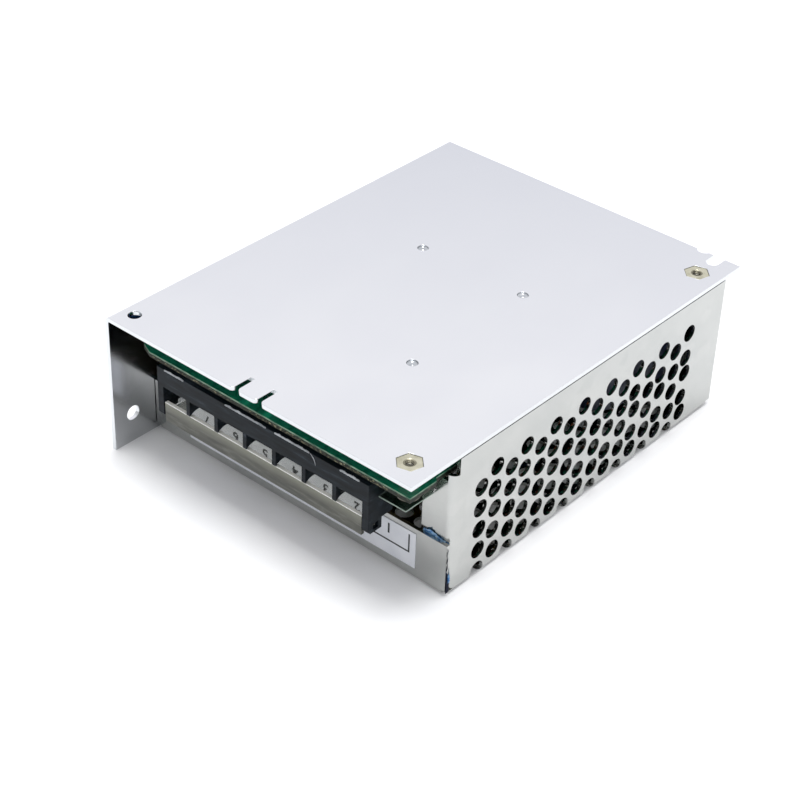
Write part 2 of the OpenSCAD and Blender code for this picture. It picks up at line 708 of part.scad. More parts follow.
// Contact strips on the base, each with a pin through the board
module block_contacts() color([0.8, 0.78, 0.7]) in_case() for (i = [0 : cells - 1]) difference() {
    union() {
        translate([cell_x(i) - contact_w / 2, block_y + contact_inset, base_z - contact_t])
            cube([contact_w, block_l - contact_inset - rear_wall_t, contact_t]);
        translate([cell_x(i) - contact_pin_w / 2, contact_pin_y, base_z - contact_t])
            cube([contact_pin_w, contact_pin_l, pcb_top + pin_reach - base_z + contact_t]);
    }
    translate([cell_x(i), clamp_cy, base_z - contact_t - cut])
        cylinder(d = clamp_d, h = contact_t + cut * 3);
}

module block_washers() color([0.8, 0.78, 0.7]) in_case() for (i = [0 : cells - 1]) difference() {
    translate([cell_x(i) - washer_w / 2, clamp_cy - washer_w / 2 + washer_shift, base_z - 2 * contact_t])
        cube([washer_w, washer_w, contact_t]);
    translate([cell_x(i), clamp_cy, base_z - 2 * contact_t - cut])
        cylinder(d = clamp_d + 2 * screw_gap, h = contact_t + 2 * cut);
}
washer_shift = 0.4;

module block_screws() color([0.78, 0.77, 0.72]) in_case() for (i = [0 : cells - 1])
    translate([cell_x(i), clamp_cy, base_z - 2 * contact_t])
    pan_screw(clamp_d, clamp_bore_h + 2 * contact_t - screw_gap, head_d, clamp_head_h);

// Clear flap that closes the terminals, with a hinge pin at each end
module flap_section() {
    front = block_y + flap_y;
    low = hinge_cz - flap_t / 2;
    translate([front, low]) square([flap_l, flap_t]);
    translate([front, low - flap_drop]) square([flap_t, flap_drop + flap_h]);
}

module block_flap() color([0.72, 0.72, 0.6, 0.45]) in_case() {
    inner_x = block_x + end_wall_t + flap_gap;
    inner_w = block_w - 2 * end_wall_t - 2 * flap_gap;
    along_x(inner_x, inner_w) flap_section();
    pin_l = flap_gap + end_wall_t - recess_depth;
    bore_x(inner_x - pin_l, hinge_cy, hinge_cz, hinge_d, inner_w + 2 * pin_l);
}

// Transformer: a three-legged core around the bobbin's winding
core_leg = 6;
core_centre = 9;
bobbin_wall = 1;
bobbin_gap = 0.2;
bobbin_flange = 1.2;
bobbin_foot = 3;
core_h = pcb_z - bobbin_foot - core_clear - cover_t;
core_z = pcb_z - bobbin_foot - core_h;
window_h = core_h - 2 * core_leg;
module transformer_core() color([0.2, 0.2, 0.21]) in_case()
    translate([core_x, core_y - core_t / 2, core_z]) along_y(0, core_t) difference() {
        translate([-core_w / 2, 0]) square([core_w, core_h]);
        for (s = [-1, 1]) scale([s, 1]) translate([core_centre / 2, core_leg])
            square([core_w / 2 - core_leg - core_centre / 2, window_h]);
    }

module bobbin_ring(w, l, h, wall) {
    linear_extrude(h) difference() {
        square([w, l], center = true);
        square([w - 2 * wall, l - 2 * wall], center = true);
    }
}

tube_w = core_centre + 2 * bobbin_gap + 2 * bobbin_wall;
tube_l = core_t + 2 * bobbin_gap + 2 * bobbin_wall;
winding_side = (core_w - 2 * core_leg - tube_w) / 2 - bobbin_gap * 2;
flange_reach = winding_side + bobbin_wall;
module transformer_bobbin() color([0.13, 0.13, 0.14]) in_case() {
    translate([core_x, core_y, core_z + core_leg + bobbin_gap]) {
        tube_h = window_h - 2 * bobbin_gap;
        bobbin_ring(tube_w, tube_l, tube_h, bobbin_wall);
        for (z = [0, tube_h - bobbin_flange]) translate([0, 0, z])
            bobbin_ring(tube_w + 2 * winding_side, tube_l + 2 * flange_reach, bobbin_flange, flange_reach);
    }
    for (s = [-1, 1])
        translate([core_x, core_y + s * bobbin_lead / 2, core_z + core_h - core_leg - bobbin_gap])
        translate([-foot_block_w / 2, -foot_block_l / 2, -bobbin_flange])
        cube([foot_block_w, foot_block_l, bobbin_foot + core_leg + bobbin_gap + bobbin_flange]);
    leads(transformer_leads, pcb_z - lead_d);
}
foot_block_w = 20;
foot_block_l = 4;

module transformer_winding() color([0.85, 0.72, 0.2]) in_case()
    translate([core_x, core_y, core_z + core_leg + bobbin_gap + bobbin_flange])
    difference() {
        rounded_box(tube_w + 2 * winding_side, tube_l + 2 * winding_side,
            window_h - 2 * bobbin_gap - 2 * bobbin_flange, winding_side / 2);
        translate([-tube_w / 2, -tube_l / 2, -cut]) cube([tube_w, tube_l, window_h]);
    }

// Electrolytic capacitor standing on the board, with a crimp groove and rounded shoulder
can_groove = 0.6;
can_shoulder = 0.8;
module can_outline(d, l) {
    translate([0, can_shoulder]) square([d / 2, l - can_shoulder]);
    square([d / 2 - can_shoulder, l]);
    translate([d / 2 - can_shoulder, can_shoulder]) circle(r = can_shoulder);
}
module capacitor(x, y, d, l) {
    translate([x, y, pcb_z - l]) difference() {
        rotate_extrude() intersection() {
            can_outline(d, l);
            square([d, l]);
        }
        translate([0, 0, l - can_shoulder * 3]) rotate_extrude()
            translate([d / 2 + can_groove / 2, 0]) circle(r = can_groove);
    }
}

module bulk_capacitors() color([0.12, 0.13, 0.2]) in_case() {
    for (i = [0, 1]) capacitor(bulk_x, bulk_y + i * bulk_pitch, bulk_d, bulk_l);
    leads(bulk_leads, pcb_z - cut);
}

module output_capacitors() color([0.1, 0.12, 0.16]) in_case() {
    for (i = [0 : 2]) capacitor(out_x, out_y + i * out_pitch, out_d, out_l);
    leads(out_leads, pcb_z - cut);
}

// Wound ring lying flat above the board, with its wire ends through it
ring_bore_share = 0.55;
ring_core_h = 6;
module ring_core(x, y, d) {
    translate([x, y, pcb_z - wire_t - ring_gap * 2 - ring_core_h]) rotate_extrude()
        translate([d * ring_bore_share / 2, 0]) square([d * (1 - ring_bore_share) / 2, ring_core_h]);
}
module ring_winding(x, y, d, angle) {
    band = d * (1 - ring_bore_share) / 2 + 2 * ring_gap;
    translate([x, y, pcb_z - 2 * wire_t - ring_gap * 3 - ring_core_h])
        for (a = [0, 180]) rotate(a - angle / 2) rotate_extrude(angle = angle)
        translate([d * ring_bore_share / 2 - ring_gap - wire_t, 0]) difference() {
            square([band + 2 * wire_t, ring_core_h + 2 * ring_gap + 2 * wire_t]);
            translate([wire_t, wire_t]) square([band, ring_core_h + 2 * ring_gap]);
        }
}
choke_angle = 120;
inductor_angle = 150;

module choke_core() color([0.25, 0.27, 0.26]) in_case() ring_core(choke_x, choke_y, choke_d);
module choke_winding() color([0.72, 0.42, 0.2]) in_case() {
    ring_winding(choke_x, choke_y, choke_d, choke_angle);
    leads(choke_leads, pcb_z - wire_t);
}
module inductor_core() color([0.75, 0.7, 0.25]) in_case() ring_core(inductor_x, inductor_y, inductor_d);
module inductor_winding() color([0.72, 0.42, 0.2]) in_case() {
    ring_winding(inductor_x, inductor_y, inductor_d, inductor_angle);
    leads(inductor_leads, pcb_z - wire_t);
}

// Small components
xcap_w = 8;
xcap_l = 17;
xcap_h = 14;
xcap_r = 0.8;
module x_capacitor() color([0.85, 0.72, 0.2]) in_case() {
    translate([xcap_x, xcap_y, pcb_z - xcap_h]) rounded_box(xcap_w, xcap_l, xcap_h, xcap_r);
    leads(xcap_leads, pcb_z - cut);
}

disc_d = 9;
disc_t = 4;
disc_z = pcb_z - disc_d / 2 - 1.2 * disc_t / 4;
module disc_part(x, y, places) {
    translate([x, y, disc_z]) rotate([90, 0, 0]) rotate_extrude() intersection() {
        translate([0, -disc_t / 2]) square([disc_d / 2, disc_t]);
        translate([disc_d / 2 - disc_t, 0]) {
            circle(d = disc_t * 2);
            translate([-disc_d, -disc_t / 2]) square([disc_d, disc_t]);
        }
    }
    leads(places, disc_z);
}
module y_capacitors() color([0.25, 0.45, 0.7]) in_case() for (i = [0, 1])
    disc_part(ycap_x, ycap_y + i * ycap_pitch, pair(ycap_x, ycap_y + i * ycap_pitch, disc_lead, 0));
module thermistor() color([0.15, 0.35, 0.2]) in_case()
    disc_part(thermistor_x, thermistor_y, thermistor_leads);

// Glass fuse on two wire ends
fuse_d = 5;
fuse_cap_l = 5;
fuse_wall = 0.4;
fuse_z = pcb_z - fuse_d / 2 - 1.2 * fuse_wall;
module fuse_body(d, y, l, bore) {
    translate([fuse_x, y, fuse_z]) rotate([-90, 0, 0]) difference() {
        cylinder(d = d, h = l);
        translate([0, 0, -cut]) cylinder(d = bore, h = l + 2 * cut);
    }
}
module fuse_tube() color([0.85, 0.9, 0.9, 0.5]) in_case()
    fuse_body(fuse_d, fuse_y - fuse_l / 2 + fuse_wall, fuse_l - 2 * fuse_wall, fuse_d - 2 * fuse_wall);
module fuse_caps() color([0.8, 0.8, 0.8]) in_case() {
    for (s = [0, 1]) mirror([0, s, 0]) translate([0, s * -2 * fuse_y, 0]) {
        fuse_body(fuse_d + 2 * fuse_wall, fuse_y - fuse_l / 2, fuse_cap_l, fuse_d);
        translate([fuse_x, fuse_y - fuse_l / 2, fuse_z]) rotate([-90, 0, 0])
            cylinder(d = fuse_d, h = fuse_wall);
        translate([fuse_x, fuse_y - fuse_lead / 2, fuse_z]) rotate([-90, 0, 0])
            cylinder(d = lead_d, h = (fuse_lead - fuse_l) / 2);
    }
    leads(fuse_leads, fuse_z);
}

bridge_w = 20;
bridge_t = 4;
bridge_h = 15;
bridge_foot = 3;
bridge_cut = 3;
module bridge_rectifier() color([0.12, 0.12, 0.13]) in_case() {
    translate([bridge_x, bridge_y - bridge_t / 2, pcb_z - bridge_foot - bridge_h]) along_y(0, bridge_t)
        polygon([
            [-bridge_w / 2, 0], [bridge_w / 2 - bridge_cut, 0], [bridge_w / 2, bridge_cut],
            [bridge_w / 2, bridge_h], [-bridge_w / 2, bridge_h]
        ]);
    leads(bridge_leads, pcb_z - bridge_foot - cut);
}

// Power device clamped flat to the solid side wall, its leads bent out to the board
pad_t = 0.3;
tab_t = 1.3;
body_t = 4.5;
device_tab_h = 6.5;
device_clear = 0.9;
hole_to_body = 3.4;
device_base_z = flange_h + device_clear + device_tab_h;
device_hole_z = device_base_z - hole_to_body;
body_h = 9;
bend_clear = 1.2;
device_gap = pcb_z - bend_clear - body_h - device_base_z;
module power_device(y) {
    translate([chassis_t + pad_t, y, 0]) {
        difference() {
            translate([0, -body_w / 2, device_base_z - device_tab_h])
                cube([tab_t, body_w, device_tab_h + body_h]);
            bore_x(-cut, 0, device_hole_z, screw_d + 2 * screw_gap, tab_t + 2 * cut);
        }
        translate([0, -body_w / 2, device_base_z]) cube([body_t, body_w, body_h]);
    }
    bend_z = device_base_z + body_h + device_gap;
    for (p = device_leads(y)) {
        translate([chassis_t + pad_t + body_t / 2, p[1], device_base_z + body_h - lead_d])
            cylinder(d = lead_d, h = device_gap + lead_d * 1.5);
        bore_x(chassis_t + pad_t + body_t / 2, p[1], bend_z, lead_d, p[0] - chassis_t - pad_t - body_t / 2);
    }
    leads(device_leads(y), bend_z - lead_d / 2);
}
module switch_transistor() color([0.13, 0.13, 0.14]) in_case() power_device(transistor_y);
module output_rectifier() color([0.13, 0.13, 0.14]) in_case() power_device(rectifier_y);

pad_margin = 1.5;
module thermal_pads() color([0.75, 0.75, 0.72]) in_case() for (y = [transistor_y, rectifier_y])
    difference() {
        translate([chassis_t, y - body_w / 2 - pad_margin, device_base_z - device_tab_h])
            cube([pad_t, body_w + 2 * pad_margin, device_tab_h + body_h + pad_margin]);
        bore_x(chassis_t - cut, y, device_hole_z, screw_d + 2 * screw_gap, pad_t + 2 * cut);
    }

module device_screws() color([0.75, 0.75, 0.74]) in_case() for (y = [transistor_y, rectifier_y])
    translate([chassis_t + pad_t + tab_t, y, device_hole_z]) rotate([0, -90, 0])
    pan_screw(screw_d, chassis_t + pad_t + tab_t - nut_sink, head_d, head_h);

// Small chips standing on their leads
chip_h = 3.4;
chip_foot = 0.5;
module dip_chip(x, y, w, l, places) {
    chip_z = pcb_z - chip_foot - chip_h;
    translate([x - w / 2, y - l / 2, chip_z]) cube([w, l, chip_h]);
    leads(places, chip_z + chip_h / 2 - lead_d / 2);
    for (p = places) bore_x(min(p[0], x), p[1], chip_z + chip_h / 2, lead_d, abs(p[0] - x));
}
chip_w = 6.3;
opto_l = 4.6;
chip_l = 9.8;
module optocoupler() color([0.9, 0.9, 0.88]) in_case() dip_chip(opto_x, opto_y, chip_w, opto_l, opto_leads);
module controller_chip() color([0.12, 0.12, 0.13]) in_case()
    dip_chip(chip_x, chip_y, chip_w, chip_l, chip_leads);

// Output voltage trimmer with a slotted rotor facing the cover
trimmer_w = 6.8;
trimmer_h = 4.8;
rotor_d = 3.2;
rotor_gap = 0.08;
rotor_depth = 1.6;
rotor_slot = 0.6;
module trimmer_body() color([0.2, 0.4, 0.7]) in_case() {
    translate([trimmer_x, trimmer_y, pcb_z - trimmer_h]) difference() {
        translate([-trimmer_w / 2, -trimmer_w / 2, 0]) cube([trimmer_w, trimmer_w, trimmer_h]);
        translate([0, 0, -cut]) cylinder(d = rotor_d + 2 * rotor_gap, h = rotor_depth + cut);
    }
    leads(trimmer_leads, pcb_z - cut);
}
module trimmer_rotor() color([0.85, 0.8, 0.6]) in_case()
    translate([trimmer_x, trimmer_y, pcb_z - trimmer_h - rotor_gap * 2]) difference() {
        cylinder(d = rotor_d, h = rotor_depth);
        translate([-rotor_d, -rotor_slot / 2, -cut]) cube([rotor_d * 2, rotor_slot, rotor_depth / 2 + cut]);
    }

led_d = 3;
led_h = 5;
led_rim = 0.4;
module indicator_led() color([0.3, 0.8, 0.4, 0.8]) in_case() {
    translate([led_x, led_y, pcb_z]) {
        translate([0, 0, led_d / 2 - led_h]) cylinder(d = led_d, h = led_h - led_d / 2);
        translate([0, 0, led_d / 2 - led_h]) sphere(d = led_d);
        translate([0, 0, -led_rim * 2]) cylinder(d = led_d + 2 * led_rim, h = led_rim * 2);
    }
    leads(led_leads, pcb_z - cut);
}

chassis();
cover();
label();
protective_film();
pcb();
corner_nuts();
corner_screws();
board_spacers();
board_screws();
cover_screws();
insulating_film();
block_housing();
block_contacts();
block_washers();
block_screws();
block_flap();
transformer_core();
transformer_bobbin();
transformer_winding();
bulk_capacitors();
output_capacitors();
choke_core();
choke_winding();
inductor_core();
inductor_winding();
x_capacitor();
y_capacitors();
thermistor();
fuse_tube();
fuse_caps();
bridge_rectifier();
switch_transistor();
output_rectifier();
thermal_pads();
device_screws();
optocoupler();
controller_chip();
trimmer_body();
trimmer_rotor();
indicator_led();
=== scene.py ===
"""Dressed scene of a mesh case power supply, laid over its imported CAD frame.

Names ending in _mm are millimetres, measured as on the drawing: X from the solid side wall, Y from the
terminal end, Z from the floor. Everything that is made is in metres, in the frame.
"""
import json
import math

import bmesh
import bpy
import numpy as np
from mathutils import Matrix, Vector


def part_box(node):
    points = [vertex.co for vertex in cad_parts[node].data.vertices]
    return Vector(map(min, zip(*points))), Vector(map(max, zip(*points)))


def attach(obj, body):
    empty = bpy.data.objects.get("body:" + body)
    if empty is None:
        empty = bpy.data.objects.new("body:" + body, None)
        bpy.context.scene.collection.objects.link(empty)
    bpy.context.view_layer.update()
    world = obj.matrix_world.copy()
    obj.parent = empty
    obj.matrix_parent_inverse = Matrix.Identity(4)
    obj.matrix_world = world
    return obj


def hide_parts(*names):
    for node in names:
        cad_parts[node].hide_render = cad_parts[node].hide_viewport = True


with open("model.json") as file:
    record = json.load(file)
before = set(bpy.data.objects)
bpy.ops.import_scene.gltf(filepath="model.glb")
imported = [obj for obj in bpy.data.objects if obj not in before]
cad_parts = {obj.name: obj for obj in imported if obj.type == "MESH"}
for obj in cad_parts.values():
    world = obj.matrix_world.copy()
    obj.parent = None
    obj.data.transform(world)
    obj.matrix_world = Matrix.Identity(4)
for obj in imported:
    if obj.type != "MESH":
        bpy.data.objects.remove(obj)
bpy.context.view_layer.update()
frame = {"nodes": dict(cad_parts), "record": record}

MM = 0.001
CASE_LOW, CASE_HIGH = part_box("chassis")
CORNER = np.array([CASE_LOW[0], CASE_LOW[1], CASE_LOW[2]])
SLOT_OF = {entry["node"]: entry["material_slot"] for entry in frame["record"]["subparts"]}


def placed(points_mm):
    """Drawing points in millimetres, turned to metres in the frame: each is scaled and moved to the case's corner."""
    return np.asarray(points_mm, float) * MM + CORNER


def box_mm(node):
    """The lowest and highest corner of a CAD node, in drawing millimetres."""
    low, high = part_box(node)
    return (np.array(low) - CORNER) / MM, (np.array(high) - CORNER) / MM


# ---- colours and nodes ----
def linear(colour, alpha=1.0):
    """An sRGB hex colour as linear light: each channel follows the sRGB curve."""
    channels = np.array([int(colour[i:i + 2], 16) for i in (1, 3, 5)]) / 255
    light = np.where(channels <= 0.04045, channels / 12.92, ((channels + 0.055) / 1.055) ** 2.4)
    return (*light.tolist(), alpha)


def add(tree, kind, inputs=None, stops=None, **settings):
    """Adds one node with its settings and its colour stops, and sets or links its inputs."""
    node = tree.nodes.new(kind)
    for name, value in settings.items():
        setattr(node, name, value)
    for name, value in (inputs or {}).items():
        if isinstance(value, bpy.types.NodeSocket):
            tree.links.new(value, node.inputs[name])
        else:
            node.inputs[name].default_value = linear(value) if isinstance(value, str) else value
    if stops:
        band = node.color_ramp
        while len(band.elements) < len(stops):
            band.elements.new(0.5)
        for element, (position, colour) in zip(band.elements, stops):
            element.position, element.color = position, linear(colour)
    return node


def material(name, colour, **values):
    """A new material with its main colour and its shader's own values. Gives it, its tree, its shader and its place."""
    made = bpy.data.materials.new(name)
    made.use_nodes = True
    tree = made.node_tree
    shader = tree.nodes["Principled BSDF"]
    shader.inputs["Base Color"].default_value = linear(colour)
    for name_of, value in values.items():
        shader.inputs[name_of.replace("_", " ")].default_value = value
    where = add(tree, "ShaderNodeTexCoord").outputs["Object"]
    return made, tree, shader, where


def grains(x, y, z):
    """The scale that makes one unit of a pattern x, y and z millimetres long."""
    return 1 / (x * MM), 1 / (y * MM), 1 / (z * MM)


def drift(tree, where, size_mm, stops, detail=3.0):
    """Colour that drifts between stops over patches of the given size: noise, read through a colour band."""
    patch = add(tree, "ShaderNodeMapping", {"Vector": where, "Scale": grains(*size_mm)}).outputs["Vector"]
    noise = add(tree, "ShaderNodeTexNoise", {"Vector": patch, "Scale": 1.0, "Detail": detail}).outputs["Fac"]
    return add(tree, "ShaderNodeValToRGB", {"Fac": noise}, stops).outputs["Color"]


def relief(tree, shader, where, size_mm, depth_mm, detail=2.0):
    """A surface grain of the given size and depth: noise, given to the shader's normal as a bump."""
    patch = add(tree, "ShaderNodeMapping", {"Vector": where, "Scale": grains(*size_mm)}).outputs["Vector"]
    noise = add(tree, "ShaderNodeTexNoise", {"Vector": patch, "Scale": 1.0, "Detail": detail}).outputs["Fac"]
    bump = add(tree, "ShaderNodeBump", {"Height": noise, "Distance": depth_mm * MM, "Strength": 1.0})
    tree.links.new(bump.outputs["Normal"], shader.inputs["Normal"])


def facing(tree, axis, stops, both="ABSOLUTE"):
    """A share read from how far a surface faces along or against an axis: 0 is across it and 1 is straight at it.
    With both="MAXIMUM" only surfaces that face along the axis count."""
    normal = add(tree, "ShaderNodeNewGeometry").outputs["Normal"]
    part = add(tree, "ShaderNodeSeparateXYZ", {"Vector": normal}).outputs[axis]
    size = add(tree, "ShaderNodeMath", {0: part, 1: 0.0}, operation=both).outputs[0]
    return add(tree, "ShaderNodeValToRGB", {"Fac": size}, stops).outputs["Color"]


# ---- finishes ----
def rolled_aluminium():
    """Mill-finish aluminium sheet: satin and faintly cloudy, with fine rolling lines along the case, a few scuffs, and
    brighter sheared edges. The plate is painted darker towards its far corner as painted shade. The folded wall's inner
    face carries painted shade and painted reflection, darkest under the plate and duller at its foot, and the outer
    face is painted darker as painted shade."""
    made, tree, shader, where = material("rolled_aluminium", "#E1E2E8", Metallic=1.0)
    tint = drift(tree, where, (22, 30, 22), [(0.3, "#DEDFE3"), (0.72, "#E2E3E6")])
    # Painted shade: the plate is darkened towards its far corner, along a fixed direction across the case.
    away = add(tree, "ShaderNodeVectorMath", {0: where, 1: (-0.644, 0.765, 0.0)}, operation="DOT_PRODUCT").outputs["Value"]
    far = add(tree, "ShaderNodeMapRange", {"Value": away, "From Min": -0.04, "From Max": 0.08}).outputs["Result"]
    plate = add(tree, "ShaderNodeMix", {0: far, 6: tint, 7: "#CED0D6"}, data_type="RGBA").outputs[2]
    rise = add(tree, "ShaderNodeSeparateXYZ", {"Vector": where}).outputs["Z"]
    share = add(tree, "ShaderNodeMath", {0: rise, 1: CASE_HIGH[2]}, operation="DIVIDE").outputs[0]
    # Painted shade and painted reflection on the folded wall's inner face, by share of its height: darkest under the
    # plate, duller at the foot. The last stop is the plate's own edge above it.
    wall_painted_shade_stops = [(0.05, "#BDBFC1"), (0.48, "#E2E3E6"), (0.7, "#E2E3E6"), (0.82, "#9A9DA1"), (0.955, "#9A9DA1"),
                  (0.965, "#D6D9DB")]
    wall = add(tree, "ShaderNodeValToRGB", {"Fac": share}, wall_painted_shade_stops).outputs["Color"]
    sideways = [(0.5, "#000000"), (0.8, "#FFFFFF")]
    # Painted shade: faces that look against X, the folded wall's outer face, are painted darker.
    outer = facing(tree, "X", sideways)
    outer_painted_shade = add(tree, "ShaderNodeMix", {0: outer, 6: plate, 7: "#BFC1C5"}, data_type="RGBA").outputs[2]
    upright = facing(tree, "X", sideways, both="MAXIMUM")
    sheet = add(tree, "ShaderNodeMix", {0: upright, 6: outer_painted_shade, 7: wall}, data_type="RGBA").outputs[2]
    sheared = facing(tree, "Y", [(0.5, "#000000"), (0.8, "#FFFFFF")])
    edge = add(tree, "ShaderNodeMix", {0: sheared, 6: sheet, 7: "#D6D9DB"}, data_type="RGBA").outputs[2]
    tree.links.new(edge, shader.inputs["Base Color"])
    scuffs = drift(tree, where, (1.6, 9, 5), [(0.62, "#767676"), (0.78, "#979797")], 5.0)
    tree.links.new(scuffs, shader.inputs["Roughness"])
    relief(tree, shader, where, (0.35, 14, 0.35), 0.0018, 3.0)
    return made


# Height under which a face that looks up is the floor's inner face, which is painted dark as painted shade.
SHADED_FLOOR_BELOW_MM = 1.5


def galvanised_steel():
    """Zinc-coated steel sheet: satin and slightly green-grey, with faint spangle and drawing lines along the fold.
    The inner face of its floor is painted dark as painted shade inside the case."""
    made, tree, shader, where = material("galvanised_steel", "#BFC2C0", Metallic=1.0)
    patch = add(tree, "ShaderNodeMapping", {"Vector": where, "Scale": grains(3.4, 3.4, 3.4)}).outputs["Vector"]
    spangle = add(tree, "ShaderNodeTexVoronoi", {"Vector": patch, "Scale": 1.0}).outputs["Color"]
    flake = add(tree, "ShaderNodeValToRGB", {"Fac": spangle}, [(0.2, "#B4B6B4"), (0.8, "#BDBEBC")]).outputs["Color"]
    cloud = drift(tree, where, (30, 22, 12), [(0.3, "#B1B3B1"), (0.7, "#BFC0BD")])
    steel_tone = add(tree, "ShaderNodeMix", {0: 0.5, 6: flake, 7: cloud}, data_type="RGBA").outputs[2]
    upward = facing(tree, "Z", [(0.8, "#000000"), (0.95, "#FFFFFF")], both="MAXIMUM")
    rise = add(tree, "ShaderNodeSeparateXYZ", {"Vector": where}).outputs["Z"]
    inside = add(tree, "ShaderNodeMath", {0: rise, 1: SHADED_FLOOR_BELOW_MM * MM}, operation="LESS_THAN").outputs[0]
    painted_shade_floor = add(tree, "ShaderNodeMath", {0: upward, 1: inside}, operation="MULTIPLY").outputs[0]
    # Painted shade: the floor's inner face is darkened for the dark inside of the case.
    tint = add(tree, "ShaderNodeMix", {0: painted_shade_floor, 6: steel_tone, 7: "#5C5D58"}, data_type="RGBA").outputs[2]
    tree.links.new(tint, shader.inputs["Base Color"])
    gloss = add(tree, "ShaderNodeValToRGB", {"Fac": spangle}, [(0.2, "#6E6E6E"), (0.8, "#7A7A7A")]).outputs["Color"]
    tree.links.new(gloss, shader.inputs["Roughness"])
    relief(tree, shader, where, (11, 13, 0.4), 0.002, 3.0)
    return made


def coated_paper():
    """Matt coated label stock: cool white with a fine paper grain."""
    made, tree, shader, where = material("coated_paper", "#D3D6DB", Roughness=0.5, Specular_IOR_Level=0.4)
    tint = drift(tree, where, (5, 5, 5), [(0.3, "#CED1D7"), (0.7, "#D8DADF")])
    tree.links.new(tint, shader.inputs["Base Color"])
    relief(tree, shader, where, (0.25, 0.25, 0.25), 0.004)
    return made


def circuit_board():
    """Glass-epoxy board: green lacquer over copper tracks on both faces. Its sawn edges are fibrous and painted dark as
    painted shade, with a pale green rim along their top that is a painted highlight."""
    made, tree, shader, where = material("circuit_board", "#12674A", Coat_Weight=0.12, Specular_IOR_Level=0.22)
    patch = add(tree, "ShaderNodeMapping", {"Vector": where, "Scale": grains(5.5, 8, 5.5)}).outputs["Vector"]
    gap = add(tree, "ShaderNodeTexVoronoi", {"Vector": patch, "Scale": 1.0}, feature="DISTANCE_TO_EDGE")
    track_stops = [(0.04, "#13614A"), (0.09, "#176F52")]
    lacquer = add(tree, "ShaderNodeValToRGB", {"Fac": gap.outputs["Distance"]}, track_stops).outputs["Color"]
    # Painted shade: the sawn edge is painted near black.
    fibre = drift(tree, where, (0.9, 0.9, 0.3), [(0.42, "#11160F"), (0.6, "#23281C"), (0.8, "#6E6C55")], 4.0)
    # Painted highlight: a pale green rim along the top of the sawn edge.
    highlight_rim_tint = drift(tree, where, (2.4, 2.4, 0.5), [(0.36, "#2F5543"), (0.62, "#7E9A83")], 3.0)
    rise = add(tree, "ShaderNodeSeparateXYZ", {"Vector": where}).outputs["Z"]
    highlight_rim_z = (box_mm("pcb")[1][2] - 0.42) * MM + CORNER[2]
    rim = add(tree, "ShaderNodeMath", {0: rise, 1: highlight_rim_z}, operation="GREATER_THAN").outputs[0]
    side = add(tree, "ShaderNodeMix", {0: rim, 6: fibre, 7: highlight_rim_tint}, data_type="RGBA").outputs[2]
    sawn = facing(tree, "Z", [(0.4, "#FFFFFF"), (0.6, "#000000")])
    tint = add(tree, "ShaderNodeMix", {0: sawn, 6: lacquer, 7: side}, data_type="RGBA").outputs[2]
    tree.links.new(tint, shader.inputs["Base Color"])
    tree.links.new(facing(tree, "Z", [(0.4, "#CCCCCC"), (0.6, "#4D4D4D")]), shader.inputs["Roughness"])
    relief(tree, shader, where, (0.5, 0.5, 0.3), 0.012)
    return made


def metal(name, colour, darker, roughness, grain_mm, depth_mm):
    """A plated or plain metal: its colour drifts a little, with fine tool marks of the given grain."""
    made, tree, shader, where = material(name, colour, Metallic=1.0, Roughness=roughness)
    tree.links.new(drift(tree, where, (2.2, 2.2, 2.2), [(0.3, darker), (0.7, colour)]), shader.inputs["Base Color"])
    relief(tree, shader, where, (grain_mm, grain_mm, grain_mm), depth_mm)
    return made


def solid_plastic(name, colour, darker, roughness, grain_mm, depth_mm, **values):
    """A moulded or dipped plastic: its colour drifts a little over a fine eroded texture."""
    made, tree, shader, where = material(name, colour, Roughness=roughness, **values)
    tree.links.new(drift(tree, where, (4, 4, 4), [(0.3, darker), (0.7, colour)]), shader.inputs["Base Color"])
    relief(tree, shader, where, (grain_mm, grain_mm, grain_mm), depth_mm)
    return made


def block_plastic():
    """Glass-filled black moulding: slate sheen, fine eroded texture, pale rubbed patches along its length."""
    made, tree, shader, where = material("block_plastic", "#11161A", Roughness=0.46, Specular_IOR_Level=0.13)
    rubbed = drift(tree, where, (7, 3, 1.2), [(0.34, "#0A0F13"), (0.6, "#151C22"), (0.82, "#333C44")], 5.0)
    tree.links.new(rubbed, shader.inputs["Base Color"])
    relief(tree, shader, where, (0.28, 0.28, 0.28), 0.01, 3.0)
    return made


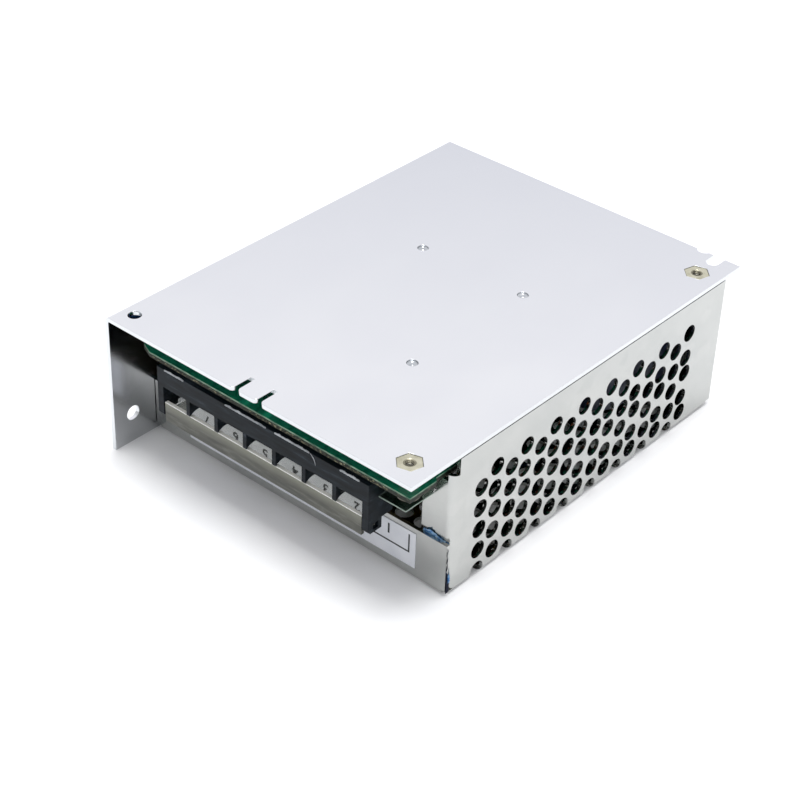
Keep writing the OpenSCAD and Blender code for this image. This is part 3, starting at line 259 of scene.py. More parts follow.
def flap_polycarbonate():
    """Clear polycarbonate, aged a little yellow: its plate is see-through. Its front edge is scuffed, opaque and olive,
    partly the plastic's own tint and partly painted shade from the shaded lip behind it, painted darker towards the
    bottom; the rim of that edge is a pale painted highlight."""
    made, tree, shader, where = material("clear_polycarbonate", "#E9E9DF", IOR=1.5)
    front = (FLAP_LOW[1] + 1.05) * MM + CORNER[1]
    across = add(tree, "ShaderNodeSeparateXYZ", {"Vector": where}).outputs
    edge = add(tree, "ShaderNodeMath", {0: across["Y"], 1: front}, operation="LESS_THAN").outputs[0]
    # Painted highlight: the top rim of the front edge is painted pale.
    highlight_rim_z = (FLAP_HIGH[2] - 0.16) * MM + CORNER[2]
    rim = add(tree, "ShaderNodeMath", {0: across["Z"], 1: highlight_rim_z}, operation="GREATER_THAN").outputs[0]
    # Painted shade: the front edge is painted dark olive, darker towards the bottom.
    smears = drift(tree, where, (6, 3, 1.1), [(0.32, "#3C3D33"), (0.55, "#525347"), (0.78, "#7B7C70")], 4.0)
    low_z, high_z = ((z * MM + CORNER[2]) for z in (FLAP_LOW[2] + 2.6, FLAP_HIGH[2] - 0.8))
    rise = add(tree, "ShaderNodeMapRange", {"Value": across["Z"], "From Min": low_z, "From Max": high_z}).outputs["Result"]
    olive = add(tree, "ShaderNodeMix", {0: rise, 6: smears, 7: "#888979"}, data_type="RGBA").outputs[2]
    lower = add(tree, "ShaderNodeMix", {0: edge, 6: "#F1F2EB", 7: olive}, data_type="RGBA").outputs[2]
    tint = add(tree, "ShaderNodeMix", {0: rim, 6: lower, 7: "#F4F5EF"}, data_type="RGBA").outputs[2]
    tree.links.new(tint, shader.inputs["Base Color"])
    opaque = add(tree, "ShaderNodeMath", {0: edge, 1: rim}, operation="ADD").outputs[0]
    clearness = {"Value": opaque, "From Max": 2.0, "To Min": 0.98, "To Max": 0.0}
    clear = add(tree, "ShaderNodeMapRange", clearness).outputs["Result"]
    tree.links.new(clear, shader.inputs["Transmission Weight"])
    worn = add(tree, "ShaderNodeMapRange", {"Value": edge, "To Min": 0.06, "To Max": 0.3}).outputs["Result"]
    tree.links.new(worn, shader.inputs["Roughness"])
    relief(tree, shader, where, (3, 2, 2), 0.008)
    return made


def insulating_polyester():
    """Clear polyester sheet: glassy, grey-green where it is looked through, with smears from handling."""
    made, tree, shader, where = material("clear_polyester", "#66766C", IOR=1.6, Roughness=0.1, Transmission_Weight=0.9)
    tree.links.new(drift(tree, where, (6, 3, 3), [(0.3, "#55665B"), (0.75, "#8B9A8E")]), shader.inputs["Base Color"])
    relief(tree, shader, where, (3, 2, 2), 0.02)
    return made


def wound_tape():
    """Yellow polyester tape wound round the transformer: glossy, with the edge of each turn showing."""
    made, tree, shader, where = material("wound_tape", "#A8842A", Roughness=0.28)
    patch = add(tree, "ShaderNodeMapping", {"Vector": where, "Scale": grains(6, 6, 6)}).outputs["Vector"]
    turns = add(tree, "ShaderNodeTexWave", {"Vector": patch, "Scale": 1.0, "Distortion": 1.5}, bands_direction="Z")
    tape_stops = [(0.1, "#8A6716"), (0.5, "#A8842A")]
    tint = add(tree, "ShaderNodeValToRGB", {"Fac": turns.outputs["Fac"]}, tape_stops).outputs["Color"]
    tree.links.new(tint, shader.inputs["Base Color"])
    return made


def capacitor_sleeve():
    """Shrunk dark sleeve over an aluminium can: glossy, with bare metal at its ends."""
    made, tree, shader, where = material("capacitor_sleeve", "#1B2233", Roughness=0.3)
    bare = facing(tree, "Z", [(0.9, "#000000"), (0.95, "#FFFFFF")])
    sleeve = drift(tree, where, (3, 3, 8), [(0.3, "#161C2B"), (0.7, "#232B40")])
    tint = add(tree, "ShaderNodeMix", {0: bare, 6: sleeve, 7: "#C9CBCF"}, data_type="RGBA").outputs[2]
    tree.links.new(tint, shader.inputs["Base Color"])
    tree.links.new(bare, shader.inputs["Metallic"])
    relief(tree, shader, where, (1.2, 1.2, 6), 0.02)
    return made


def enamelled_wire():
    """Copper wire under clear enamel: warm and glossy, with small tone changes from turn to turn."""
    made, tree, shader, where = material("enamelled_wire", "#94502A", Metallic=1.0, Roughness=0.26, Coat_Weight=0.6)
    tree.links.new(drift(tree, where, (1.5, 1.5, 1.5), [(0.3, "#7A3D1B"), (0.7, "#A8623A")]), shader.inputs["Base Color"])
    return made


def blue_peel_film():
    """Blue polyethylene peel film: thin and see-through, creased, paler where it is stretched."""
    made, tree, shader, where = material("blue_peel_film", "#3F7FBC", Roughness=0.34, IOR=1.5, Transmission_Weight=0.3)
    tint = drift(tree, where, (1.3, 1.3, 0.9), [(0.36, "#3570B0"), (0.5, "#6CA4D6"), (0.66, "#C0DDEE")], 2.0)
    tree.links.new(tint, shader.inputs["Base Color"])
    relief(tree, shader, where, (0.8, 0.8, 0.5), 0.08)
    return made


def frayed_fibre():
    """Glass fibre torn out of a sawn board edge: dry and matt, dull olive with pale tufts."""
    made, tree, shader, where = material("glass_fibre_fray", "#8D886A", Roughness=0.85)
    tufts = drift(tree, where, (0.9, 0.9, 0.4), [(0.46, "#181B14"), (0.58, "#4C4A38"), (0.74, "#A7A180")], 4.0)
    tree.links.new(tufts, shader.inputs["Base Color"])
    relief(tree, shader, where, (0.2, 0.2, 0.2), 0.03)
    return made


def glassy(name, colour, roughness, clearness):
    """A clear or tinted glassy solid with a faint flow mark."""
    made, tree, shader, where = material(name, colour, Roughness=roughness, IOR=1.5, Transmission_Weight=clearness)
    relief(tree, shader, where, (2, 2, 2), 0.005)
    return made


FLAP_LOW, FLAP_HIGH = box_mm("block_flap")
FINISH = {
    "aluminium_sheet": rolled_aluminium(),
    "steel_sheet": galvanised_steel(),
    "label_paper": coated_paper(),
    "blue_film": blue_peel_film(),
    "board": circuit_board(),
    # Nickel plate on brass is warm and bright.
    "nickel": metal("nickel_plate", "#CBC8B4", "#B3B09B", 0.26, 0.4, 0.004),
    # Zinc plate on steel is cool, with a fine cast.
    "zinc": metal("zinc_plate", "#C7CACE", "#A9ADB2", 0.2, 0.5, 0.02),
    "clear_film": insulating_polyester(),
    "black_plastic": block_plastic(),
    "clear_plastic": flap_polycarbonate(),
    # Sintered ferrite is a dull near-black with a ground surface.
    "ferrite": solid_plastic("sintered_ferrite", "#2E3034", "#1F2124", 0.62, 0.3, 0.02),
    "tape": wound_tape(),
    "copper": enamelled_wire(),
    "sleeve": capacitor_sleeve(),
    # Box film capacitors have a glossy moulded yellow case; here it is painted dark brown as painted shade, for the
    # dark inside of the case.
    "yellow_case": solid_plastic("yellow_box_plastic_in_shade", "#40381F", "#322C18", 0.5, 0.5, 0.01),
    # Disc parts are dipped in lacquer, which pools and shines.
    "blue_lacquer": solid_plastic("blue_dip_lacquer", "#3B74B6", "#2C5C98", 0.25, 1.2, 0.05),
    "green_lacquer": solid_plastic("green_dip_lacquer", "#33643F", "#254B30", 0.28, 1.2, 0.05),
    "glass": glassy("fuse_glass", "#E6EFEA", 0.04, 0.95),
    # Transfer-moulded epoxy is black and eggshell.
    "device": solid_plastic("moulded_epoxy", "#1B1C1E", "#131416", 0.55, 0.2, 0.01),
    # Silicone pads are soft, grey and quite matt.
    "pad": solid_plastic("silicone_pad", "#A9AAA5", "#97988F", 0.8, 0.4, 0.02),
    "white_device": solid_plastic("white_epoxy", "#E4E2DB", "#D6D4CC", 0.5, 0.2, 0.01),
    # Painted iron powder rings are yellow and slightly orange-peeled.
    "iron_powder": solid_plastic("painted_iron_powder", "#BFAE3A", "#A89A2C", 0.45, 0.6, 0.03),
    "trimmer": solid_plastic("trimmer_plastic", "#2C5FA6", "#234F8C", 0.4, 0.3, 0.01),
    "brass": metal("turned_brass", "#D4B56C", "#B99A52", 0.28, 0.3, 0.004),
    "lens": glassy("green_lens", "#4DB765", 0.1, 0.7),
}
# Thermal print is black, and breaks up a little over the paper's grain.
INK = solid_plastic("printed_ink", "#24252B", "#131418", 0.45, 0.25, 0.003)
# Flash is the thin skin that squeezes out at a mould's joint: torn, dry and pale. Its pale strips along the block's top
# front edge are also a painted highlight on that edge.
FLASH_AND_EDGE_HIGHLIGHT = solid_plastic("torn_flash_and_edge_highlight", "#B6BABD", "#6F7479", 0.7, 0.25, 0.03)
# Solder is tin, bright and drawn smooth.
SOLDER = metal("tin_solder", "#C9CBCE", "#AEB1B4", 0.22, 0.9, 0.01)
# Sawn board edges fray into pale glass fibre.
FIBRE = frayed_fibre()
# A pale tube along the clear film's cut edge is a painted highlight, standing for the light that gathers in that edge.
PAINTED_EDGE_HIGHLIGHT = solid_plastic("polyester_edge_highlight", "#B9C8BE", "#8CA093", 0.3, 0.5, 0.01)

# Blue film painted nearly black: painted shade for the film in the dark gap at the lip's end.
SHADED_GAP_FILM = solid_plastic("blue_film_in_painted_shade", "#0A0F2A", "#04071A", 0.75, 0.6, 0.03, Specular_IOR_Level=0.2)
# The threads inside the nuts are a darker, greyer nickel.
DARKER_NICKEL_THREAD = metal("darker_nickel_thread", "#9A9684", "#6E6B5C", 0.4, 0.3, 0.01)
# Zinc painted dull and brown-grey: painted shade for parts that sit in the dark inside of the case and deep in the
# nuts' holes.
SHADED_ZINC = metal("zinc_in_painted_shade", "#77756C", "#57554D", 0.42, 0.4, 0.015)

for node_name, made_node in frame["nodes"].items():
    for material_slot in made_node.material_slots:
        # Painted shade: the fuse caps and corner screws take the darkened zinc.
        dull = node_name in ("fuse_caps", "corner_screws")
        material_slot.material = SHADED_ZINC if dull else FINISH[SLOT_OF[node_name]]


# ---- shapes ----
def grid_faces(rows, columns, around=False):
    """Quads between neighbouring points of a grid of rows and columns; around closes each row on itself."""
    across = columns if around else columns - 1
    row, column = np.meshgrid(np.arange(rows - 1), np.arange(across), indexing="ij")
    after = (column + 1) % columns
    quads = np.stack([row * columns + column, row * columns + after, (row + 1) * columns + after,
                      (row + 1) * columns + column], axis=-1)
    return quads.reshape(-1, 4)


def lathe(profile, centre, turns=32):
    """A closed turned shape about Z: the profile's radius and height go round in equal steps, with flat ends."""
    profile = np.asarray(profile, float)
    angle = np.arange(turns) * 2 * math.pi / turns
    radius, height = profile[:, :1], profile[:, 1:]
    points = np.stack([radius * np.cos(angle), radius * np.sin(angle), height + 0 * angle], axis=-1)
    ends = [list(range(turns))[::-1], list(range((len(profile) - 1) * turns, len(profile) * turns))]
    return points.reshape(-1, 3) + np.asarray(centre, float), grid_faces(len(profile), turns, True).tolist() + ends


def ring_lathe(profile, centre, turns=32):
    """A ring turned about Z: the closed profile of radius and height goes round in equal steps."""
    profile = np.asarray(profile, float)
    angle = np.arange(turns) * 2 * math.pi / turns
    points = np.stack([np.outer(np.cos(angle), profile[:, 0]), np.outer(np.sin(angle), profile[:, 0]),
                       np.outer(np.ones(turns), profile[:, 1])], axis=-1)
    count = len(profile)
    row, column = np.meshgrid(np.arange(turns), np.arange(count), indexing="ij")
    next_row, next_column = (row + 1) % turns, (column + 1) % count
    quads = np.stack([row * count + column, next_row * count + column, next_row * count + next_column,
                      row * count + next_column], axis=-1).reshape(-1, 4)
    return points.reshape(-1, 3) + np.asarray(centre, float), quads.tolist()


def tube(path, radius, sides=8):
    """A round bar along a path: each ring lies across the path's direction there, with flat ends."""
    path = np.asarray(path, float)
    along = np.gradient(path, axis=0)
    along /= np.linalg.norm(along, axis=1, keepdims=True)
    up = np.where(np.abs(along[:, 2:]) > 0.9, [[1.0, 0.0, 0.0]], [[0.0, 0.0, 1.0]])
    side = np.cross(along, up)
    side /= np.linalg.norm(side, axis=1, keepdims=True)
    over = np.cross(side, along)
    angle = np.arange(sides) * 2 * math.pi / sides
    thick = np.broadcast_to(np.asarray(radius, float), (len(path),))[:, None, None]
    rings = path[:, None] + thick * (np.cos(angle)[:, None] * side[:, None] + np.sin(angle)[:, None] * over[:, None])
    ends = [list(range(sides))[::-1], list(range((len(path) - 1) * sides, len(path) * sides))]
    return rings.reshape(-1, 3), grid_faces(len(path), sides, True).tolist() + ends


def slab(outline, low, high, axes=(0, 2, 1)):
    """A flat plate: an outline on two axes, carried along the third from low to high, closed at both ends."""
    outline = np.asarray(outline, float)
    count = len(outline)
    points = np.zeros((2 * count, 3))
    points[:, axes[0]] = np.tile(outline[:, 0], 2)
    points[:, axes[1]] = np.tile(outline[:, 1], 2)
    points[:count, axes[2]], points[count:, axes[2]] = low, high
    edge = np.arange(count)
    sides = np.stack([edge, (edge + 1) % count, (edge + 1) % count + count, edge + count], axis=-1).tolist()
    return points, sides + [edge[::-1].tolist(), (edge + count).tolist()]


def joined(shapes):
    """Several shapes as one: their points one after another, and their faces counted on."""
    points, faces, base = [], [], 0
    for shape_points, shape_faces in shapes:
        points.append(shape_points)
        faces += [[index + base for index in face] for face in shape_faces]
        base += len(shape_points)
    return np.concatenate(points), faces


def piece(name, shape, finish, body="case", crease=None):
    """A new piece from a shape in drawing millimetres. Its faces are turned outwards, and it rides on a body."""
    points, faces = shape
    mesh = bpy.data.meshes.new(name)
    mesh.from_pydata(placed(points).tolist(), [], faces)
    work = bmesh.new()
    work.from_mesh(mesh)
    bmesh.ops.recalc_face_normals(work, faces=work.faces)
    work.to_mesh(mesh)
    work.free()
    mesh.materials.append(finish)
    made = bpy.data.objects.new(name, mesh)
    bpy.context.scene.collection.objects.link(made)
    if crease is not None:
        mesh.polygons.foreach_set("use_smooth", [True] * len(mesh.polygons))
        mesh.set_sharp_from_angle(angle=math.radians(crease))
    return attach(made, body)


def carved(mesh, shape):
    """A mesh with a closed shape, in drawing millimetres, cut out of it."""
    cutter_mesh = bpy.data.meshes.new("cutter")
    cutter_mesh.from_pydata(placed(shape[0]).tolist(), [], shape[1])
    work = bmesh.new()
    work.from_mesh(cutter_mesh)
    bmesh.ops.recalc_face_normals(work, faces=work.faces)
    work.to_mesh(cutter_mesh)
    work.free()
    pair = [bpy.data.objects.new("carving", data) for data in (mesh, cutter_mesh)]
    for member in pair:
        bpy.context.scene.collection.objects.link(member)
    cut = pair[0].modifiers.new("Recess", "BOOLEAN")
    cut.object, cut.solver = pair[1], "EXACT"
    bpy.context.view_layer.update()
    result = bpy.data.meshes.new_from_object(pair[0].evaluated_get(bpy.context.evaluated_depsgraph_get()))
    for member in pair:
        bpy.data.objects.remove(member)
    return result


def cross(centre, reach, half):
    """A plus-shaped outline about a point: three corners of one arm, turned round in quarter turns."""
    arm = np.array([[half, half], [reach, half], [reach, -half]])
    quarter = np.array([[0, -1], [1, 0]])
    arms = [arm @ np.linalg.matrix_power(quarter, turn) for turn in range(4)]
    return np.concatenate(arms) + np.asarray(centre, float)


def rounded(node, name, width_mm, body="case", finish=None, reshape=None, cut=None):
    """A copy of a CAD node with its triangles merged and its edges rounded by width_mm, in the node's place. reshape
    takes the points in drawing millimetres and gives them back moved, and cut is a shape to cut out first."""
    mesh = frame["nodes"][node].data.copy()
    mesh.name = name
    work = bmesh.new()
    work.from_mesh(mesh)
    bmesh.ops.remove_doubles(work, verts=work.verts, dist=2e-6)
    bmesh.ops.dissolve_limit(work, angle_limit=math.radians(0.6), verts=work.verts, edges=work.edges)
    work.to_mesh(mesh)
    work.free()
    if cut:
        mesh = carved(mesh, cut)
        mesh.name = name
    if reshape:
        flat = np.zeros(len(mesh.vertices) * 3)
        mesh.vertices.foreach_get("co", flat)
        mesh.vertices.foreach_set("co", placed(reshape((flat.reshape(-1, 3) - CORNER) / MM)).ravel())
    made = bpy.data.objects.new(name, mesh)
    bpy.context.scene.collection.objects.link(made)
    bevel = made.modifiers.new("Rounded edges", "BEVEL")
    bevel.width, bevel.segments = width_mm * MM, 2
    bevel.limit_method, bevel.angle_limit = "ANGLE", math.radians(38)
    mesh.polygons.foreach_set("use_smooth", [True] * len(mesh.polygons))
    flats = made.modifiers.new("Flat faces stay flat", "WEIGHTED_NORMAL")
    flats.weight = 100
    for index in range(len(mesh.materials)):
        mesh.materials[index] = finish or FINISH[SLOT_OF[node]]
    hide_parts(node)
    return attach(made, body)


# ---- terminal block ----
BLOCK_LOW, BLOCK_HIGH = box_mm("block_housing")
rounded("block_housing", "block_moulding", 0.16)
rounded("block_flap", "flap_moulding", 0.2, body="flap")
rounded("block_screws", "terminal_screws", 0.12)
rounded("block_washers", "terminal_washers", 0.12)

# Flash and painted highlight along the block's top front edge: start and end along X, and its height.
FLASH_AND_HIGHLIGHT_RUNS_MM = ((18.5, 25.2, 0.3), (39.3, 52.8, 0.36), (55.6, 66.6, 0.36), (76.2, 82.2, 0.42))
BLOCK_TOP_MM = box_mm("pcb")[0][2] - 0.9
flash_random = np.random.default_rng(7)


def torn_strip(start, end, height):
    """A torn skin along X: its upper edge wanders as a sum of three waves and a seeded jitter, and thins at its ends."""
    steps = np.linspace(0, 1, 26)
    across = start + steps * (end - start)
    wander = 0.55 + 0.25 * np.sin(across * 1.9) + 0.15 * np.sin(across * 4.3 + 1) + 0.1 * np.sin(across * 9.1)
    top = height * np.clip(wander + flash_random.uniform(-0.12, 0.12, 26), 0.15, 1) * np.minimum(1, 8 * steps * (1 - steps) + 0.2)
    upper = np.stack([across, BLOCK_TOP_MM + top], axis=-1)
    lower = np.stack([across, np.full(26, BLOCK_TOP_MM - 0.22) - 0.12 * np.abs(np.sin(across * 3.1))], axis=-1)
    return slab(np.concatenate([lower, upper[::-1]]), BLOCK_LOW[1] - 0.06, BLOCK_LOW[1] + 0.14)


flash_and_highlight_shapes = [torn_strip(*run) for run in FLASH_AND_HIGHLIGHT_RUNS_MM]
turn = np.linspace(0, 1, 12)
scratch_path = np.stack([66.6 + 2.0 * turn + 0.5 * np.sin(turn * 3), np.full(12, BLOCK_LOW[1] - 0.01),
                         BLOCK_TOP_MM - 2.7 * turn ** 1.3], axis=-1)
flash_and_highlight_shapes.append(tube(scratch_path, 0.11 * np.sin(turn * 2.9 + 0.12) + 0.02, 6))
piece("moulding_flash_and_highlight", joined(flash_and_highlight_shapes), FLASH_AND_EDGE_HIGHLIGHT)

# ---- label print ----
LABEL_LOW, LABEL_HIGH = box_mm("label")
PRINT_T_MM = 0.02
MARK_FIRST_MM, MARK_PITCH_MM, MARK_Z_MM, MARK_SIZE_MM = 20.3, 10.15, 12.1, 4.0
LINE_MM, BRACKET_RIGHT_MM = 0.46, 87.75


def digit(number, centre_x, centre_z, size):
    """A plain numeral, turned upside down in the label's plane, as flat print of one thickness."""
    curve = bpy.data.curves.new("numeral", "FONT")
    curve.body, curve.size = str(number), size
    curve.align_x, curve.align_y = "CENTER", "CENTER"
    curve.resolution_u, curve.offset = 3, 0.09
    holder = bpy.data.objects.new("numeral", curve)
    bpy.context.scene.collection.objects.link(holder)
    bpy.context.view_layer.update()
    flat = holder.to_mesh()
    points = np.zeros(len(flat.vertices) * 3)
    flat.vertices.foreach_get("co", points)
    points = points.reshape(-1, 3)
    faces = [list(p.vertices) for p in flat.polygons]
    holder.to_mesh_clear()
    bpy.data.objects.remove(holder)
    front = np.stack([centre_x - points[:, 0], np.full(len(points), LABEL_LOW[1] - PRINT_T_MM),
                      centre_z - points[:, 1]], axis=-1)
    return front, faces


def bar(x0, z0, x1, z1):
    """A printed line: an upright rectangle between two corners, one print thick."""
    return slab([[x0, z0], [x1, z0], [x1, z1], [x0, z1]], LABEL_LOW[1] - PRINT_T_MM, LABEL_LOW[1])


mark_xs = MARK_FIRST_MM + MARK_PITCH_MM * np.arange(7)
marks = [digit(7 - i, x, MARK_Z_MM - 0.9, MARK_SIZE_MM) for i, x in enumerate(mark_xs)]
bracket_low, bracket_top, tick_top = 7.2, 12.6, 8.7
brackets = []
for first, last in ((0, 1), (2, 3), (5, 6)):
    left, right, right_top = mark_xs[first] - 3.2, mark_xs[last] + 3.2, tick_top
    if last == 6:
        right, right_top = BRACKET_RIGHT_MM, bracket_top
    brackets += [bar(left, bracket_low, right, bracket_low + LINE_MM),
                 bar(right - LINE_MM, bracket_low + LINE_MM, right, right_top),
                 bar(left, bracket_low + LINE_MM, left + LINE_MM, tick_top)]
piece("label_print", joined(marks + brackets), INK)

# ---- blue film left between the lip and the tab ----
LIP_LOW, LIP_HIGH = box_mm("protective_film")


def film_scrap(columns=34, rows=22):
    """Creased film: a grid across X and up Z whose top edge follows a torn outline. Y wanders by crossing waves,
    which grow where the film stands free above the lip."""
    share, rise = np.meshgrid(np.linspace(0, 1, columns), np.linspace(0, 1, rows))
    top = np.interp(share, [0, 0.05, 0.3, 0.5, 0.83, 0.93, 1], [0.89, 0.93, 0.985, 0.95, 0.91, 0.885, 0.86])
    across = LIP_LOW[0] + share * (LIP_HIGH[0] - LIP_LOW[0] - 0.6)
    height = LIP_LOW[2] + rise * (LIP_HIGH[2] * top - LIP_LOW[2]) + 0.12 * np.sin(across * 7) * rise
    free = np.clip((height - 14.6) / 2, 0, 1)
    fold = 0.5 * np.sin(across * 1.7 + height * 0.9) + 0.35 * np.sin(across * 4.1 - height * 2.3)
    depth = (LIP_LOW[1] + LIP_HIGH[1]) / 2 - free * (0.35 + 0.3 * fold) + 0.02 * np.sin(across * 5)
    return np.stack([across, depth, height], axis=-1).reshape(-1, 3), grid_faces(rows, columns).tolist()


scrap = piece("blue_film_scrap", film_scrap(), FINISH["blue_film"], crease=60)
scrap_wall = scrap.modifiers.new("Film thickness", "SOLIDIFY")
scrap_wall.thickness, scrap_wall.offset = 0.07 * MM, 0.0
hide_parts("protective_film")

# The scrap's torn end sticks out of the gap at the lip's corner: where it is, and its size across and up.
TUFT_MM, TUFT_SIZE_MM = (99.0, 14.85, 5.2), (0.32, 0.3, 1.0)


def film_tuft(columns=18, rows=12):
    """A crumpled knot of film: a closed ball on angles round and up, pulled in and out by crossing waves."""
    around, rise = np.meshgrid(np.arange(columns) * 2 * math.pi / columns, np.linspace(0.03, math.pi - 0.03, rows))
    swell = 1 + 0.3 * np.sin(around * 3 + rise * 2) + 0.18 * np.sin(around * 5 - rise * 4)
    ball = np.stack([np.sin(rise) * np.cos(around), np.sin(rise) * np.sin(around), np.cos(rise)], axis=-1)
    points = np.array(TUFT_MM) + ball * swell[..., None] * np.array(TUFT_SIZE_MM)
    ends = [list(range(columns))[::-1], list(range((rows - 1) * columns, rows * columns))]
    return points.reshape(-1, 3), grid_faces(rows, columns, True).tolist() + ends


piece("blue_film_tuft", film_tuft(), FINISH["blue_film"], crease=50)



def film_tail(columns=7, rows=40):
    """The scrap's edge, folded into the gap at the lip's end: a grid across Y and up Z. It is widest at the bottom
    and narrows to a line above it, and X wanders a little by crossing waves."""
    share, rise = np.meshgrid(np.linspace(0, 1, columns), np.linspace(0, 1, rows))
    height = TAIL_LOW_MM + rise * (TAIL_HIGH_MM - TAIL_LOW_MM)
    width = np.interp(height, TAIL_WIDTH_AT_MM, TAIL_WIDTHS_MM)
    depth = LABEL_HIGH[1] + 0.12 + share * width
    across = TAIL_X_MM + 0.05 * np.sin(height * 2.7 + share * 3) + 0.03 * np.sin(height * 6.1)
    return np.stack([across, depth, height], axis=-1).reshape(-1, 3), grid_faces(rows, columns).tolist()


TAIL_X_MM, TAIL_LOW_MM, TAIL_HIGH_MM = 98.88, 0.9, 14.3
TAIL_WIDTH_AT_MM, TAIL_WIDTHS_MM = (0.9, 1.2, 3.6, 4.2, 7.0, 14.3), (0.7, 1.15, 1.15, 0.7, 0.3, 0.2)
# Painted shade: a near-black strip of film fills the dark gap at the lip's end.
tail = piece("blue_film_tail_in_shade", film_tail(), SHADED_GAP_FILM, crease=60)
tail_wall = tail.modifiers.new("Film thickness", "SOLIDIFY")
tail_wall.thickness, tail_wall.offset = 0.07 * MM, 0.0

# ---- insulating film ----
FILM_LOW, FILM_HIGH = box_mm("insulating_film")
edge_z = FILM_LOW[2] + 0.12
edge_path = [[FILM_LOW[0], FILM_LOW[1], edge_z], [FILM_HIGH[0], FILM_LOW[1], edge_z], [FILM_HIGH[0], FILM_HIGH[1], edge_z]]
# Painted highlight: a pale tube along the film's lower cut edge.
piece("film_edge_highlight", tube(edge_path, 0.16, 6), PAINTED_EDGE_HIGHLIGHT, crease=70)

# ---- circuit board ----
PCB_LOW, PCB_HIGH = box_mm("pcb")
COVERED = ("bulk_capacitors", "output_capacitors", "transformer_bobbin", "choke_winding", "inductor_winding",
           "bridge_rectifier", "fuse_caps", "x_capacitor", "thermistor", "y_capacitors", "optocoupler",
           "controller_chip", "trimmer_body", "indicator_led", "switch_transistor", "output_rectifier", "block_contacts")


def lead_tops(nodes):
    """Where leads come out on the board: the mean of each group of points on a lead's flat end."""
    points = []
    for node in nodes:
        flat = np.zeros(len(frame["nodes"][node].data.vertices) * 3)
        frame["nodes"][node].data.vertices.foreach_get("co", flat)
        flat = (flat.reshape(-1, 3) - CORNER) / MM
        points.append(flat[flat[:, 2] > PCB_HIGH[2] + 0.9, :2])
    points = np.unique(np.round(np.concatenate(points), 3), axis=0)
    near = np.linalg.norm(points[:, None] - points[None], axis=2) < 1.5
    means = (near.astype(float) @ points) / near.sum(axis=1, keepdims=True)
    return np.unique(np.round(means, 1), axis=0)


def solder_joint(x, y):
    """A solder fillet about a lead: a turned cone whose side curves in, from 1.1 mm wide at the board to the wire."""
    rise = np.linspace(0, 1, 7)
    radius = 0.42 + 0.68 * (1 - rise) ** 2.2
    return lathe(np.stack([radius, PCB_HIGH[2] + 0.86 * rise], axis=-1), (x, y, 0), 14)


piece("solder_joints", joined([solder_joint(x, y) for x, y in lead_tops(COVERED)]), SOLDER, crease=60)

fray_random = np.random.default_rng(11)


def frayed_edge(start, end, y, low, high, reach):
    """Torn fibre along the board's front: a strip across X whose front wanders by waves and a seeded jitter."""
    count = int((end - start) * 5)
    across = np.linspace(start, end, count)
    wander = 0.5 * np.sin(across * 0.9) + 0.45 * np.sin(across * 2.3) + 0.3 * np.sin(across * 6.7)
    out = reach * np.clip(wander + fray_random.uniform(-0.35, 0.35, count), 0.03, 1)
    levels = np.array([low, low + 0.3 * (high - low), low + 0.7 * (high - low), high])
    swell = np.array([0.3, 1.0, 0.8, 0.2])
    front = np.stack([np.repeat(across[None], 4, 0), y - swell[:, None] * out[None], np.repeat(levels[:, None], count, 1)], axis=-1)
    back = front[::-1].copy()
    back[..., 1] = y + 0.02
    points = np.concatenate([front, back]).reshape(-1, 3)
    rows = grid_faces(8, count).tolist()
    close = [[7 * count + i, 7 * count + i + 1, i + 1, i] for i in range(count - 1)]
    ends = [[row * count for row in range(8)][::-1], [row * count + count - 1 for row in range(8)]]
    return points, rows + close + ends


piece("board_fray", joined([
    frayed_edge(46, 90, PCB_LOW[1], PCB_LOW[2] + 0.1, PCB_LOW[2] + 0.9, 0.35),
    frayed_edge(14, 40, PCB_LOW[1], PCB_LOW[2] + 0.2, PCB_LOW[2] + 0.7, 0.2),
]), FIBRE, crease=50)

# ---- screws seen in the plate ----
PLATE_TOP_MM = (CASE_HIGH[2] - CORNER[2]) / MM
SPACER_LOW, SPACER_HIGH = box_mm("board_spacers")
NUT_LOW, NUT_HIGH = box_mm("corner_nuts")
nut_x = (NUT_LOW[0] + NUT_HIGH[0]) / 2
nut_r = (NUT_HIGH[0] - NUT_LOW[0]) / 2
nut_places = [(nut_x, NUT_LOW[1] + nut_r), (nut_x, NUT_HIGH[1] - nut_r)]
MOUTH_R_MM, WIDE_R_MM = 1.6, 1.42


def widened(points):
    """Lead-in cones of the nuts: points of the top rim near a hole's axis move straight out to a wider circle."""
    top = points[:, 2] > points[:, 2].max() - 0.05
    for place in nut_places:
        away = points[:, :2] - place
        reach = np.linalg.norm(away, axis=1)
        rim = top & (reach < MOUTH_R_MM)
        points[rim, :2] = place + away[rim] * (WIDE_R_MM / reach[rim])[:, None]
    return points


rounded("corner_nuts", "press_nuts", 0.18, reshape=widened)
rounded("chassis", "base_sheet", 0.12)
rounded("cover", "mesh_sheet", 0.1)


def screw_end(x, y, top):
    """The middle of a rolled screw tip: a turned boss with the deep dimple that thread rolling leaves."""
    return lathe([[0.98, top - 0.35], [1.0, top - 0.1], [0.86, top], [0.62, top - 0.05], [0.4, top - 0.3],
                  [0.12, top - 0.4]], (x, y, 0), 28)


def thread_ring(x, y, radius, low, high, turns):
    """The first threads inside a nut: a ring whose inner edge zigzags once for each turn and opens out upwards."""
    level = np.linspace(low, high, turns * 2 + 1)
    inner = radius - 0.24 * (np.arange(turns * 2 + 1) % 2) - 0.26 * np.linspace(1, 0, turns * 2 + 1)
    outline = np.concatenate([np.stack([inner, level], axis=-1), [[radius + 0.02, high], [radius + 0.02, low]]])
    return ring_lathe(outline, (x, y, 0), 36)


